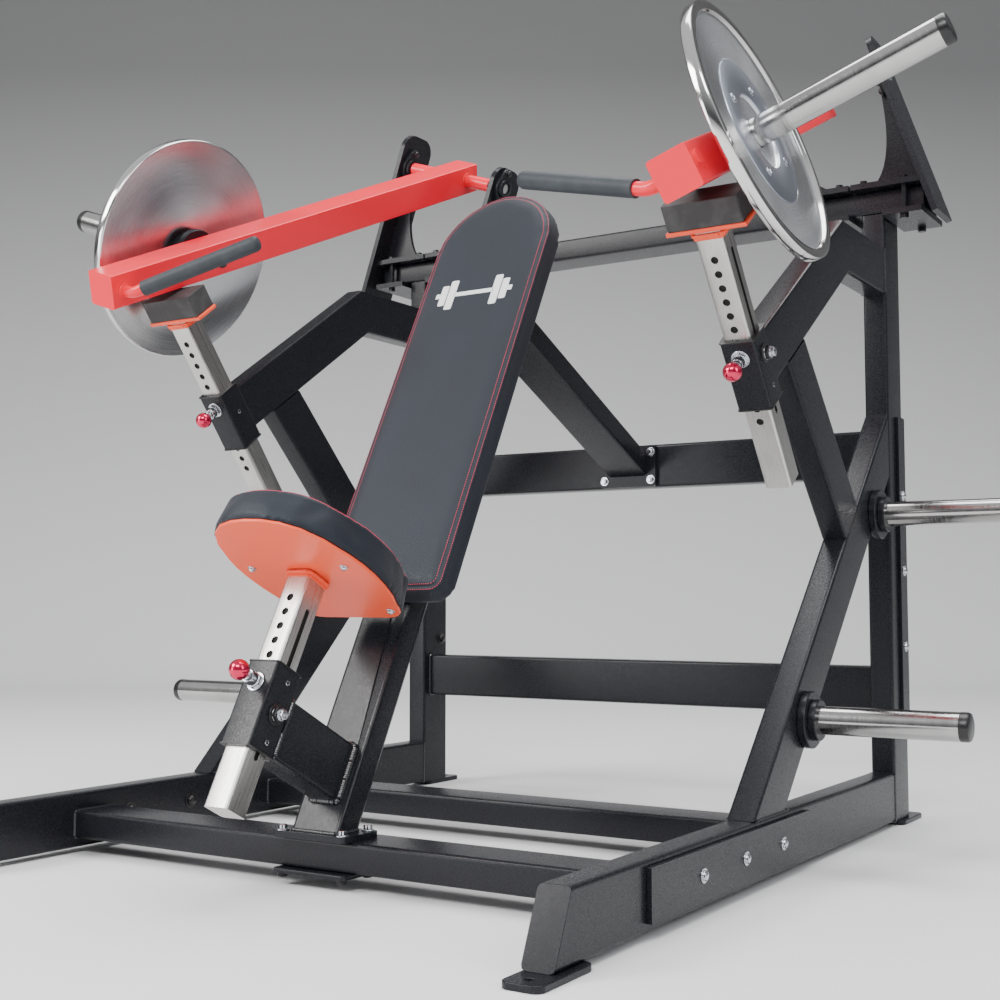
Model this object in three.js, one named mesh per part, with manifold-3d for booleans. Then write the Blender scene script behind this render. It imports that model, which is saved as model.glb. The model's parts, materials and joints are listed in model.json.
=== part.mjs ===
// A plate-loaded incline chest press with two independent, converging press arms.
//
// Units are millimetres and +Z is up. The user sits facing -Y, +X is their left-hand side as seen
// from the front, and the origin is on the floor under the middle of the machine. Each side is built
// by the same functions with side = -1 (left) or +1 (right), measured from the centre plane x = 0.
// Lengths along y are first measured from the front of the base and the whole is then centred.
// The two stops are set one hole apart, so the left arm rests a little lower than the right.

import * as THREE from 'three';
import { mergeVertices } from 'three/addons/utils/BufferGeometryUtils.js';
import Module from 'manifold-3d';

const wasm = await Module();
wasm.setup();

// ---------------------------------------------------------------- driving dimensions

const GAP = 0.3; // clearance left where one piece bears on another

const BOX = { narrow: 50, wide: 100, wall: 3, corner: 7 }; // frame tube, 100 x 50
const POST = { size: 48, wall: 3, corner: 5 }; // stainless adjusting posts
const SLEEVE = { size: 62, corner: 6 }; // sockets the adjusting posts slide in
const HOLE = { radius: 6.5, pitch: 25.5 }; // the row of adjusting holes
const PIN = { radius: 5, tipGap: 1.2, knob: 16.5, neck: 9, neckLength: 5, boss: 11, bossLength: 22 };

const SIDE_X = 595; // centre plane of each side frame
const SIDE_INNER = SIDE_X - BOX.narrow / 2;

const FRONT = -15; // front edge of the front feet
const REAR = 1600; // rear edge of the rear feet
const CENTRE_SHIFT = 3.3; // the lower left arm reaches further out, so the whole is moved to be centred
const FOOT = { width: 60, length: 138, thick: 10, corner: 14, outward: 6 };
const FOOT_BOLT = { radius: 7, front: 26, rear: 116 }; // hole, from the front edge of its foot

const UPRIGHT = { front: 1440, top: 1285 };
const RAIL = { bottom: FOOT.thick, top: FOOT.thick + BOX.wide, nose: 38, noseTop: 84, rear: UPRIGHT.front };

const LOWER_BRACE = { y: 749, angle: 44.4 }; // axis crosses the rail top at y
const UPPER_BRACE = { y: 914, z: 906 }; // axis point, square to the lower brace
const BEAM = { top: 1210, angle: 34, apex: 1173, nose: 755 }; // nose: y of its front top corner

const RAIL_PLATE = { front: 290, rear: 915, height: 78, thick: 8, middle: 62, bolts: [-140, 22, 183] };
const POST_PLATE = { low: 200, high: 855, width: 44, thick: 6, back: 72, bolts: [-160, 0, 160] };

// Both stops are set by hand, so each post is drawn out by its own number of holes.
const STOP = { y: 594, z: 1066, tilt: 37.4, length: 492, firstHole: -50, holes: 13 };
const STOP_RAISED = { left: -22, right: 3.5 };
const STOP_SLEEVE = { top: -196, length: 128, pin: -225 };
const STOP_SLOT = { middle: -197, length: 315, width: 9 };
const BUMPER = { width: 140, depth: 60, back: 33, plate: 8, height: 46 };

const CROSS = { bottom: 28, front: 327, rear: 856 }; // base crossmembers, laid flat
const REAR_CROSS = { front: 1463, lower: 226, upper: 726 }; // bottoms of the two upright ones
const PIVOT_BEAM = { front: UPRIGHT.front, bottom: UPRIGHT.top, halfLength: 704 };

const LEAN = 28; // seat post and backrest, from the vertical
const SPINE = { y: 332, z: 99, top: 1085 }; // front face of the backrest tube at height z
const MOUNT = { y: 356, halfX: 76, halfY: 46, thick: 10, boltX: 62, boltY: 34 };
const SEAT = { y: 164, z: 236, below: 101, above: 304 }; // post axis at the sleeve's lower end
const SEAT_SLEEVE = { length: 137, pin: 101 };
const SEAT_HOLES = { first: -50, count: 10 };
const SEAT_SLOT = { middle: -190, length: 260, width: 9 };
const SEAT_ARM = { width: 60, height: 100, wall: 4 };
const SEAT_PAD = { thick: 60, halfWidth: 141, front: 183, back: -150 };
const SEAT_PLATE = { thick: 6, halfWidth: 132, front: 178, back: -146 };

const BACK_PAD = { bottom: 446, halfWidth: 139, length: 930, thick: 42, corner: 34 };
const BACK_BRACE = { footZ: 776, headZ: 1046, plateHalf: 72, plateHeight: 96, boltX: 60, boltZ: 32 };

const ARM_TILT = 19; // each arm swings in a plane leaning inwards by this much
const PIVOT = { x: 469.7, y: 1433, z: 1534 };
const ARM = { reach: 1126, tail: 39, width: 68, height: 70, wall: 4 };
const ARM_SLOPE = { left: 25.51, right: 23.94 };
const HORN = { radius: 25, bore: 21.5, along: -845, length: 371 };
const HORN_DISC = [[50, 14], [36, 27]]; // radius and height of each step at the root of a horn
const PIVOT_TUBE = { radius: 16.5, bore: 12.8, inner: -108, outer: 140 };
const SHAFT_RADIUS = 12.5;
const BRACKET = { thick: 12, front: -40, rear: 75, corner: 40, outer: 160, inner: -128 };
const BRACKET_TOP = { outer: 1665, inner: 1540 };
const BRACKET_FOOT = { length: 150, thick: 12, overhang: 30, under: 1262, nearBolt: 40, farBolt: 24 };
const BRACKET_WEB = { outer: 235, inner: 112, thick: 10, back: 22 };

const DISC = { radius: 232, thick: 22, centre: 72, bore: 25.6, chamfer: 3, rim: 20, dish: 9, hub: 132 };
const STORE_REACH = 905;
const STORE_PLACES = { lower: [925, 256], upper: [1342, 639] };

const GRIP = { radius: 15.5, bore: 11.9, start: [-77, -1084, 9], end: [-287, -968, 117] };
const HANDLE = { radius: 11.5, bend: 40, corner: 26 }; // corner: from the grip back to where the axes meet

// ---------------------------------------------------------------- finishes

function finish(color, roughness, metalness) {
  return new THREE.MeshStandardMaterial({ color, roughness, metalness });
}

const black = finish(0x1c1d1f, 0.55, 0.3);
const red = finish(0xd23a3e, 0.35, 0.1);
const coral = finish(0xea5a44, 0.4, 0.1);
const steel = finish(0xb9babc, 0.35, 0.9);
const chrome = finish(0xd0d2d4, 0.15, 1.0);
const vinyl = finish(0x3a3d42, 0.6, 0.0);
const rubber = finish(0x46494d, 0.85, 0.0);
const knobRed = finish(0xb5203f, 0.25, 0.6);

// ---------------------------------------------------------------- solids

const V = (x, y, z) => new THREE.Vector3(x, y, z);
const rad = THREE.MathUtils.degToRad;

function solidOf(geometry) {
  const bare = geometry.clone();
  bare.deleteAttribute('normal');
  bare.deleteAttribute('uv');
  const welded = mergeVertices(bare, 1e-3);
  const corners = welded.index.array;
  const kept = [];
  for (let i = 0; i < corners.length; i += 3) {
    const [a, b, c] = [corners[i], corners[i + 1], corners[i + 2]];
    if (a !== b && b !== c && c !== a) {
      kept.push(a, b, c);
    }
  }
  return new wasm.Manifold(new wasm.Mesh({
    numProp: 3,
    vertProperties: welded.attributes.position.array,
    triVerts: new Uint32Array(kept),
  }));
}

function geometryOf(solid) {
  const { vertProperties, triVerts } = solid.getMesh();
  const geometry = new THREE.BufferGeometry();
  geometry.setAttribute('position', new THREE.BufferAttribute(new Float32Array(vertProperties), 3));
  geometry.setIndex(new THREE.BufferAttribute(new Uint32Array(triVerts), 1));
  geometry.computeVertexNormals();
  return geometry;
}

function roundedRect(width, height, radius) {
  const [w, h] = [width / 2, height / 2];
  const shape = new THREE.Shape();
  shape.moveTo(w, radius - h);
  shape.absarc(w - radius, h - radius, radius, 0, Math.PI / 2, false);
  shape.absarc(radius - w, h - radius, radius, Math.PI / 2, Math.PI, false);
  shape.absarc(radius - w, radius - h, radius, Math.PI, Math.PI * 1.5, false);
  shape.absarc(w - radius, radius - h, radius, Math.PI * 1.5, Math.PI * 2, false);
  return shape;
}

// Extrudes a shape from one point to another; the shape's x follows the across direction.
function sweep(shape, from, to, across = V(1, 0, 0), curveSegments = 1) {
  const along = to.clone().sub(from);
  const geometry = new THREE.ExtrudeGeometry(shape, {
    depth: along.length(), bevelEnabled: false, curveSegments,
  });
  const z = along.normalize();
  const x = across.clone().addScaledVector(z, -across.dot(z)).normalize();
  const y = z.clone().cross(x);
  return geometry.applyMatrix4(new THREE.Matrix4().makeBasis(x, y, z).setPosition(from));
}

function disc(radius) {
  return new THREE.Shape().absarc(0, 0, radius, 0, Math.PI * 2, false);
}

function roundHole(x, y, radius) {
  return new THREE.Path().absarc(x, y, radius, 0, Math.PI * 2, true);
}

function rod(radius, from, to, quarters = 2) {
  const across = Math.abs(to.x - from.x) > Math.abs(to.z - from.z) ? V(0, 0, 1) : V(1, 0, 0);
  return sweep(disc(radius), from, to, across, 2 * quarters);
}

// A straight open-ended tube of rounded rectangular section.
function tube(width, height, from, to, { wall, corner } = BOX, across = V(1, 0, 0)) {
  const shape = roundedRect(width, height, corner);
  shape.holes.push(roundedRect(width - 2 * wall, height - 2 * wall, Math.max(corner - wall, 1)));
  return sweep(shape, from, to, across);
}

// The outside or the hollow of a frame tube, as two separate solid bars.
function barPair(width, height, from, to, innerFrom = from, innerTo = to) {
  const { wall, corner } = BOX;
  const inner = roundedRect(width - 2 * wall, height - 2 * wall, corner - wall);
  return {
    outside: solidOf(sweep(roundedRect(width, height, corner), from, to)),
    hollow: solidOf(sweep(inner, innerFrom, innerTo)),
  };
}

function box(low, high) {
  const [size, middle] = [high.clone().sub(low), high.clone().add(low).multiplyScalar(0.5)];
  return new THREE.BoxGeometry(size.x, size.y, size.z).translate(middle.x, middle.y, middle.z);
}

// Everything on the side of the plane that the normal points to.
function beyond(point, normal) {
  const size = 6000;
  const block = new THREE.BoxGeometry(size, size, size).translate(0, 0, size / 2);
  const turn = new THREE.Quaternion().setFromUnitVectors(V(0, 0, 1), normal.clone().normalize());
  return solidOf(block.applyQuaternion(turn).translate(point.x, point.y, point.z));
}

function lathe(profile, sides = 28) {
  return new THREE.LatheGeometry(profile.map(([r, h]) => new THREE.Vector2(r, h)), sides);
}

// A hexagonal bolt head with a washer under it, along +z from the given height.
function boltHead(x, y, z, radius = 9, height = 8) {
  const washer = rod(radius * 1.35, V(x, y, z), V(x, y, z + 2), 2);
  const head = rod(radius, V(x, y, z + 1), V(x, y, z + 2 + height), 1.5);
  return solidOf(washer).add(solidOf(head));
}

function piece(name, geometry, material, parent) {
  const mesh = new THREE.Mesh(geometry, material);
  mesh.name = name;
  parent.add(mesh);
  return mesh;
}

const sideName = (side) => (side < 0 ? 'left' : 'right');

// ---------------------------------------------------------------- side frames

function foot(name, side, frontEdge, boltHole, parent) {
  const shape = roundedRect(FOOT.width, FOOT.length, FOOT.corner);
  shape.holes.push(roundHole(0, boltHole - FOOT.length / 2, FOOT_BOLT.radius));
  const geometry = new THREE.ExtrudeGeometry(shape, {
    depth: FOOT.thick, bevelEnabled: false, curveSegments: 3,
  });
  const mesh = piece(name, geometry, black, parent);
  mesh.position.set(side * FOOT.outward, frontEdge + FOOT.length / 2, 0);
}

function baseRail(name, parent) {
  const middle = (RAIL.bottom + RAIL.top) / 2;
  const bar = barPair(BOX.narrow, BOX.wide, V(0, 0, middle), V(0, RAIL.rear, middle),
    V(0, 0, middle), V(0, RAIL.rear + 20, middle));
  const noseNormal = V(0, -BOX.wide, RAIL.noseTop - RAIL.nose).normalize();
  const nose = V(0, RAIL.nose, RAIL.bottom);
  const innerNose = nose.clone().addScaledVector(noseNormal, -BOX.wall);
  const hollow = bar.hollow.subtract(beyond(innerNose, noseNormal));
  piece(name, geometryOf(bar.outside.subtract(beyond(nose, noseNormal)).subtract(hollow)), black, parent);
}

const lowerAxis = V(0, Math.cos(rad(LOWER_BRACE.angle)), Math.sin(rad(LOWER_BRACE.angle)));
const upperAxis = V(0, lowerAxis.z, -lowerAxis.y);
const beamAxis = V(0, Math.cos(rad(BEAM.angle)), Math.sin(rad(BEAM.angle)));
const beamUp = V(0, -beamAxis.z, beamAxis.y);

function lowerBrace(name, parent) {
  const start = V(0, LOWER_BRACE.y, RAIL.top);
  const ends = [-150, 1150].map((run) => start.clone().addScaledVector(lowerAxis, run));
  const bar = barPair(BOX.narrow, BOX.wide, ...ends);
  const trimmed = bar.outside.subtract(bar.hollow)
    .subtract(beyond(V(0, 0, RAIL.top + GAP), V(0, 0, -1)))
    .subtract(beyond(V(0, UPRIGHT.front - GAP, 0), V(0, 1, 0)));
  piece(name, geometryOf(trimmed), black, parent);
}

function upperBrace(name, parent) {
  const point = V(0, UPPER_BRACE.y, UPPER_BRACE.z);
  const start = V(0, LOWER_BRACE.y, RAIL.top);
  const toFace = point.clone().sub(start).dot(upperAxis) + BOX.wide / 2 + GAP;
  const low = point.clone().addScaledVector(upperAxis, -toFace);
  const high = point.clone().addScaledVector(upperAxis, -250);
  const bar = barPair(BOX.narrow, BOX.wide, low, high);
  const underBeam = V(0, BEAM.apex, BEAM.top).addScaledVector(beamUp, -BOX.wide - GAP);
  const brace = bar.outside.subtract(bar.hollow).subtract(beyond(underBeam, beamUp));
  piece(name, geometryOf(brace), black, parent);
}

// The upper beam rises from the stop sleeve, bends at a mitre and runs level to the upright.
function upperBeam(name, parent) {
  const half = BOX.wide / 2;
  const bend = V(0, BEAM.apex + half * Math.tan(rad(BEAM.angle / 2)), BEAM.top - half);
  const noseDrop = (BEAM.apex - BEAM.nose) / beamAxis.y;
  const nose = V(0, BEAM.apex, BEAM.top).addScaledVector(beamAxis, -noseDrop).addScaledVector(beamUp, -half);
  const level = V(0, UPRIGHT.front - GAP, bend.z);
  const mitre = V(0, 1 + beamAxis.y, beamAxis.z).normalize();
  const overrun = beamAxis.clone().multiplyScalar(120);
  const past = V(0, 120, 0);
  const slope = barPair(BOX.narrow, BOX.wide, nose.clone().sub(overrun), bend.clone().add(overrun));
  const flat = barPair(BOX.narrow, BOX.wide, bend.clone().sub(past), level,
    bend.clone().sub(past), level.clone().add(past));
  const before = beyond(bend.clone().addScaledVector(mitre, -0.02), mitre.clone().negate());
  const after = beyond(bend.clone().addScaledVector(mitre, 0.02), mitre);
  const stopFace = V(0, Math.cos(rad(STOP.tilt)), Math.sin(rad(STOP.tilt)));
  const noseCut = beyond(stopPoint(SLEEVE.size / 2 + GAP, 0), stopFace.clone().negate());
  const outside = slope.outside.subtract(after).add(flat.outside.subtract(before));
  const hollow = slope.hollow.subtract(after).add(flat.hollow.subtract(before));
  piece(name, geometryOf(outside.subtract(hollow).subtract(noseCut)), black, parent);
}

// A point of the stop post's own frame, by its distance behind and above the top of the post axis.
function stopPoint(behind, above) {
  const [c, s] = [Math.cos(rad(STOP.tilt)), Math.sin(rad(STOP.tilt))];
  return V(0, STOP.y + behind * c - above * s, STOP.z + behind * s + above * c);
}

// A flat plate with a row of bolt heads, standing on the outer face of a frame tube.
function boltedPlate(name, side, [length, width, thick], bolts, [y, z], parent) {
  const plate = solidOf(sweep(roundedRect(length, width, 3), V(0, 0, 0), V(0, 0, thick)));
  const heads = bolts.map(([along, across]) => boltHead(along, across, thick - 0.5, 8, 4));
  const mesh = piece(name, geometryOf(heads.reduce((sum, head) => sum.add(head), plate)), black, parent);
  mesh.position.set(side * (BOX.narrow / 2 + GAP), y, z);
  mesh.rotation.set(Math.PI / 2, side * Math.PI / 2, 0);
}

function railPlate(name, side, parent) {
  const { front, rear, height, thick, middle, bolts } = RAIL_PLATE;
  const places = bolts.map((along) => [side * along, 0]);
  boltedPlate(name, side, [rear - front, height, thick], places, [(front + rear) / 2, middle], parent);
}

function postPlate(name, side, parent) {
  const { low, high, width, thick, back, bolts } = POST_PLATE;
  const places = bolts.map((above) => [0, above]);
  const middle = [UPRIGHT.front + back, (low + high) / 2];
  boltedPlate(name, side, [width, high - low, thick], places, middle, parent);
}

function storageHorn(name, side, [y, z], parent) {
  const start = SIDE_X + BOX.narrow / 2 + GAP;
  const mesh = piece(name, hornGeometry(STORE_REACH - start, HORN_DISC), steel, parent);
  mesh.position.set(side * (start - SIDE_X), y, z);
  mesh.rotation.z = -side * Math.PI / 2;
}

// A plate horn along +y: stepped discs at its root, a thick-walled tube and a closed end.
function hornGeometry(length, steps) {
  const { radius: r, bore } = HORN;
  const [chamfer, cap] = [10, 14];
  const root = steps.flatMap(([radius, top], i) => [[radius, i === 0 ? 0 : steps[i - 1][1]], [radius, top]]);
  const rootEnd = steps[steps.length - 1][1];
  return lathe([
    [bore, 0], ...root, [r, rootEnd], [r, length - chamfer], [r - 8, length],
    [0, length], [0, length - cap], [bore, length - cap], [bore, 0],
  ], 18);
}

function stopSleeve(name, parent) {
  const { top, length } = STOP_SLEEVE;
  const shape = roundedRect(SLEEVE.size, SLEEVE.size, SLEEVE.corner);
  shape.holes.push(roundedRect(POST.size + 2 * GAP, POST.size + 2 * GAP, POST.corner));
  const socket = solidOf(sweep(shape, V(0, 0, top - length), V(0, 0, top)));
  piece(name, geometryOf(withPinBoss(socket, STOP_SLEEVE.pin)), black, parent);
}

// Adds the threaded boss of a pull pin to the front of a socket whose axis is z.
function withPinBoss(socket, height) {
  const face = -SLEEVE.size / 2;
  const boss = solidOf(rod(PIN.boss, V(0, face + 0.5, height), V(0, face - PIN.bossLength, height), 3));
  const bore = solidOf(rod(PIN.radius + GAP, V(0, -POST.size / 2 + 3, height), V(0, face - 40, height), 3));
  return socket.add(boss).subtract(bore);
}

// A pull pin: a plunger behind a ball knob, pulled towards -y.
function pullPin(name, height, parent) {
  const tip = -POST.size / 2 - PIN.tipGap;
  const reach = tip + SLEEVE.size / 2 + PIN.bossLength + 3;
  const ballFrom = reach + PIN.neckLength;
  const neckAngle = Math.asin(PIN.neck / PIN.knob);
  const profile = [[0, 0], [PIN.radius, 0], [PIN.radius, reach], [PIN.neck, reach], [PIN.neck, ballFrom]];
  const steps = 6;
  for (let i = 1; i < steps; i++) {
    const angle = neckAngle + (Math.PI - neckAngle) * (i / steps);
    const height = ballFrom + PIN.knob * (Math.cos(neckAngle) - Math.cos(angle));
    profile.push([PIN.knob * Math.sin(angle), height]);
  }
  profile.push([0, ballFrom + PIN.knob * (Math.cos(neckAngle) + 1)]);
  const mesh = piece(name, lathe(profile, 12), knobRed, parent);
  mesh.position.set(0, tip, height);
  mesh.rotation.x = Math.PI;
}

// An adjusting post hanging from z = 0, with holes in front and a long slot in one side.
function adjustingPost(name, length, firstHole, holes, slot, slotSide, parent) {
  let solid = solidOf(tube(POST.size, POST.size, V(0, 0, -length), V(0, 0, 0), POST));
  const front = -POST.size / 2;
  for (let i = 0; i < holes; i++) {
    const z = firstHole - i * HOLE.pitch;
    solid = solid.subtract(solidOf(rod(HOLE.radius, V(0, front - 5, z), V(0, front + 10, z))));
  }
  const cut = roundedRect(slot.width, slot.length, slot.width / 2 - 0.1);
  const from = V(slotSide * (POST.size / 2 - 10), 0, slot.middle);
  const to = V(slotSide * (POST.size / 2 + 5), 0, slot.middle);
  solid = solid.subtract(solidOf(sweep(cut, from, to, V(0, 1, 0))));
  return piece(name, geometryOf(solid), steel, parent);
}

function stopAssembly(side, parent) {
  const name = sideName(side);
  const socket = new THREE.Group();
  socket.position.set(0, STOP.y, STOP.z);
  socket.rotation.x = rad(STOP.tilt);
  parent.add(socket);
  stopSleeve(`${name}_stop_sleeve`, socket);
  pullPin(`${name}_stop_pin`, STOP_SLEEVE.pin, socket);

  const stop = new THREE.Group();
  stop.position.z = STOP_RAISED[name];
  socket.add(stop);
  adjustingPost(`${name}_stop_post`, STOP.length, STOP.firstHole, STOP.holes, STOP_SLOT, side, stop);
  const { width, depth, back, plate, height } = BUMPER;
  const shape = box(V(-width / 2, back - depth, GAP), V(width / 2, back, plate));
  piece(`${name}_stop_plate`, shape, coral, stop);
  const block = sweep(roundedRect(width - 8, depth - 1, 3), V(0, 0, 0), V(0, 0, height));
  piece(`${name}_bumper`, block, rubber, stop).position.set(0, back - depth / 2, plate + GAP);
}

function sideFrame(side) {
  const name = sideName(side);
  const group = new THREE.Group();
  group.position.x = side * SIDE_X;
  foot(`${name}_front_foot`, side, FRONT, FOOT_BOLT.front, group);
  foot(`${name}_rear_foot`, side, REAR - FOOT.length, FOOT_BOLT.rear, group);
  baseRail(`${name}_base_rail`, group);
  const upright = tube(BOX.narrow, BOX.wide, V(0, 0, FOOT.thick), V(0, 0, UPRIGHT.top));
  piece(`${name}_rear_post`, upright, black, group).position.y = UPRIGHT.front + BOX.wide / 2;
  lowerBrace(`${name}_lower_brace`, group);
  upperBrace(`${name}_upper_brace`, group);
  upperBeam(`${name}_upper_beam`, group);
  railPlate(`${name}_rail_plate`, side, group);
  postPlate(`${name}_post_plate`, side, group);
  for (const [level, place] of Object.entries(STORE_PLACES)) {
    storageHorn(`${name}_${level}_storage_horn`, side, place, group);
  }
  stopAssembly(side, group);
  return group;
}

// ---------------------------------------------------------------- crossmembers

function crossTube(name, height, depth, y, z, half, parent) {
  const ends = [V(-half, 0, 0), V(half, 0, 0)];
  const mesh = piece(name, tube(depth, height, ...ends, BOX, V(0, 1, 0)), black, parent);
  mesh.position.set(0, y + depth / 2, z + height / 2);
}

function crossmembers(parent) {
  const half = SIDE_INNER - GAP;
  crossTube('front_crossmember', BOX.narrow, BOX.wide, CROSS.front, CROSS.bottom, half, parent);
  crossTube('rear_base_crossmember', BOX.narrow, BOX.wide, CROSS.rear, CROSS.bottom, half, parent);
  crossTube('lower_rear_crossmember', BOX.wide, BOX.narrow, REAR_CROSS.front, REAR_CROSS.lower, half, parent);
  crossTube('upper_rear_crossmember', BOX.wide, BOX.narrow, REAR_CROSS.front, REAR_CROSS.upper, half, parent);
  crossTube('pivot_beam', BOX.narrow, BOX.wide, PIVOT_BEAM.front, PIVOT_BEAM.bottom + GAP,
    PIVOT_BEAM.halfLength, parent);
}

// ---------------------------------------------------------------- backrest and seat

const leanUp = V(0, Math.sin(rad(LEAN)), Math.cos(rad(LEAN)));
const leanBack = V(0, Math.cos(rad(LEAN)), -Math.sin(rad(LEAN)));

// The backrest tube's axis where it is at height z.
function spineAxis(z) {
  const along = (z - SPINE.z + (BOX.narrow / 2) * leanUp.y) / leanUp.z;
  return V(0, SPINE.y, SPINE.z).addScaledVector(leanBack, BOX.narrow / 2).addScaledVector(leanUp, along);
}

const mountBolts = [-1, 1].flatMap((i) => [-1, 1].map((j) => [i * MOUNT.boltX, j * MOUNT.boltY]));

function spine(parent) {
  const deck = CROSS.bottom + BOX.narrow + GAP;
  const bar = barPair(BOX.wide, BOX.narrow, spineAxis(0), spineAxis(SPINE.top));
  const foot = V(0, 0, deck + MOUNT.thick / 2);
  const open = bar.outside.subtract(bar.hollow).subtract(beyond(foot, V(0, 0, -1)));
  const shape = roundedRect(2 * MOUNT.halfX, 2 * MOUNT.halfY, 8);
  let plate = solidOf(sweep(shape, V(0, MOUNT.y, deck), V(0, MOUNT.y, deck + MOUNT.thick), V(1, 0, 0), 2));
  for (const [x, y] of mountBolts) {
    plate = plate.add(boltHead(x, MOUNT.y + y, deck + MOUNT.thick - 0.5, 7.2, 7));
  }
  piece('backrest_tube', geometryOf(plate.add(open)), black, parent);
}

// The plate that grips the crossmember from below, with the nuts of the mounting bolts.
function clampPlate(parent) {
  const under = CROSS.bottom - GAP;
  const [thick, nut] = [8, 7];
  const shape = roundedRect(2 * MOUNT.halfX, 2 * MOUNT.halfY, 8);
  let solid = solidOf(sweep(shape, V(0, MOUNT.y, under - thick), V(0, MOUNT.y, under)));
  for (const [x, y] of mountBolts) {
    const at = (z) => V(x, MOUNT.y + y, z);
    solid = solid.add(solidOf(rod(9, at(under - thick - nut), at(under - thick + 1), 1.5)));
  }
  piece('clamp_plate', geometryOf(solid), black, parent);
}

function seatGroup(parent) {
  const group = new THREE.Group();
  group.position.set(0, SEAT.y, SEAT.z);
  group.rotation.x = -rad(LEAN);
  parent.add(group);
  return group;
}

// In the seat group z runs up the leaning post from the sleeve's lower end and y points back.
function seatAssembly(parent) {
  const group = seatGroup(parent);
  const spineFace = V(0, SPINE.y, SPINE.z).sub(group.position).dot(leanBack);
  const half = SLEEVE.size / 2;
  const socket = roundedRect(SLEEVE.size, SLEEVE.size, SLEEVE.corner);
  const sleeve = solidOf(sweep(socket, V(0, 0, 0), V(0, 0, SEAT_SLEEVE.length)));
  const { width, height, wall } = SEAT_ARM;
  const armShape = roundedRect(width, height, BOX.corner);
  armShape.holes.push(roundedRect(width - 2 * wall, height - 2 * wall, 3));
  const middle = height / 2;
  const arm = solidOf(sweep(armShape, V(0, half - 4, middle), V(0, spineFace - GAP, middle)));
  const bore = roundedRect(POST.size + 2 * GAP, POST.size + 2 * GAP, POST.corner);
  const boreCut = solidOf(sweep(bore, V(0, 0, -5), V(0, 0, SEAT_SLEEVE.length + 5)));
  const joined = sleeve.add(arm).subtract(boreCut);
  piece('seat_arm', geometryOf(withPinBoss(joined, SEAT_SLEEVE.pin)), black, group);
  pullPin('seat_pin', SEAT_SLEEVE.pin, group);

  const { first, count } = SEAT_HOLES;
  const post = adjustingPost('seat_post', SEAT.below + SEAT.above, first, count, SEAT_SLOT, 1, group);
  post.position.z = SEAT.above;
  const top = SEAT.above + GAP;
  const plate = piece('seat_plate', seatSlab(SEAT_PLATE, SEAT_PLATE.thick, 40), coral, group);
  plate.position.z = top;
  const pad = piece('seat_pad', seatSlab(SEAT_PAD, SEAT_PAD.thick, 46), vinyl, group);
  pad.position.z = top + SEAT_PLATE.thick + GAP;
}

// A seat outline: square at the back (+y), swelling to full width and round at the front (-y).
function seatSlab({ halfWidth, front, back }, thick, corner) {
  const backHalf = halfWidth * 0.8;
  const hip = backHalf + corner * 0.12;
  const shape = new THREE.Shape();
  shape.moveTo(-backHalf + corner, -back);
  shape.lineTo(backHalf - corner, -back);
  shape.quadraticCurveTo(backHalf, -back, hip, -back - corner);
  shape.bezierCurveTo(halfWidth * 1.02, 60, halfWidth * 1.06, -20, halfWidth * 0.96, -60);
  shape.bezierCurveTo(halfWidth * 0.8, -front * 0.9, halfWidth * 0.4, -front, 0, -front);
  shape.bezierCurveTo(-halfWidth * 0.4, -front, -halfWidth * 0.8, -front * 0.9, -halfWidth * 0.96, -60);
  shape.bezierCurveTo(-halfWidth * 1.06, -20, -halfWidth * 1.02, 60, -hip, -back - corner);
  shape.quadraticCurveTo(-backHalf, -back, -backHalf + corner, -back);
  return new THREE.ExtrudeGeometry(shape, { depth: thick, bevelEnabled: false, curveSegments: 5 });
}

function backrest(parent) {
  const pad = new THREE.Group();
  pad.position.copy(spineAxis(BACK_PAD.bottom));
  pad.rotation.x = -rad(LEAN);
  parent.add(pad);
  const { halfWidth: w, length, corner } = BACK_PAD;
  const shape = new THREE.Shape();
  shape.moveTo(-w + corner, 0);
  shape.lineTo(w - corner, 0);
  shape.absarc(w - corner, corner, corner, -Math.PI / 2, 0, false);
  shape.absarc(0, length - w, w, 0, Math.PI, false);
  shape.absarc(-w + corner, corner, corner, Math.PI, Math.PI * 1.5, false);
  const geometry = new THREE.ExtrudeGeometry(shape, {
    depth: BACK_PAD.thick, bevelEnabled: false, curveSegments: 8,
  });
  const mesh = piece('back_pad', geometry, vinyl, pad);
  mesh.position.y = -BOX.narrow / 2 - GAP;
  mesh.rotation.x = Math.PI / 2;
}

// A strut from the backrest tube down to a bolted plate on the upper rear crossmember.
function backBrace(parent) {
  const { footZ, headZ, plateHalf, plateHeight, boltX, boltZ } = BACK_BRACE;
  const face = REAR_CROSS.front - GAP;
  const thick = 10;
  const low = V(0, face, footZ);
  const head = spineAxis(headZ);
  const axis = head.clone().sub(low).normalize();
  const bar = barPair(BOX.wide, BOX.narrow, low.clone().addScaledVector(axis, -60), head);
  const spineBack = V(0, SPINE.y, SPINE.z).addScaledVector(leanBack, BOX.narrow + GAP);
  const strut = bar.outside.subtract(bar.hollow)
    .subtract(beyond(V(0, face - thick / 2, 0), V(0, 1, 0)))
    .subtract(beyond(spineBack, leanBack.clone().negate()));
  const middleZ = REAR_CROSS.upper + BOX.wide / 2;
  const plateShape = roundedRect(2 * plateHalf, plateHeight, 6);
  let plate = solidOf(sweep(plateShape, V(0, face - thick, middleZ), V(0, face, middleZ)));
  const toFront = new THREE.Matrix4().makeRotationX(Math.PI / 2).setPosition(0, face - thick, middleZ);
  for (const x of [-boltX, boltX]) {
    for (const z of [-boltZ, boltZ]) {
      plate = plate.add(boltHead(x, z, -0.5, 7, 6).transform(toFront.elements));
    }
  }
  piece('back_brace', geometryOf(plate.add(strut)), black, parent);
}

// ---------------------------------------------------------------- pivots and arms

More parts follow.
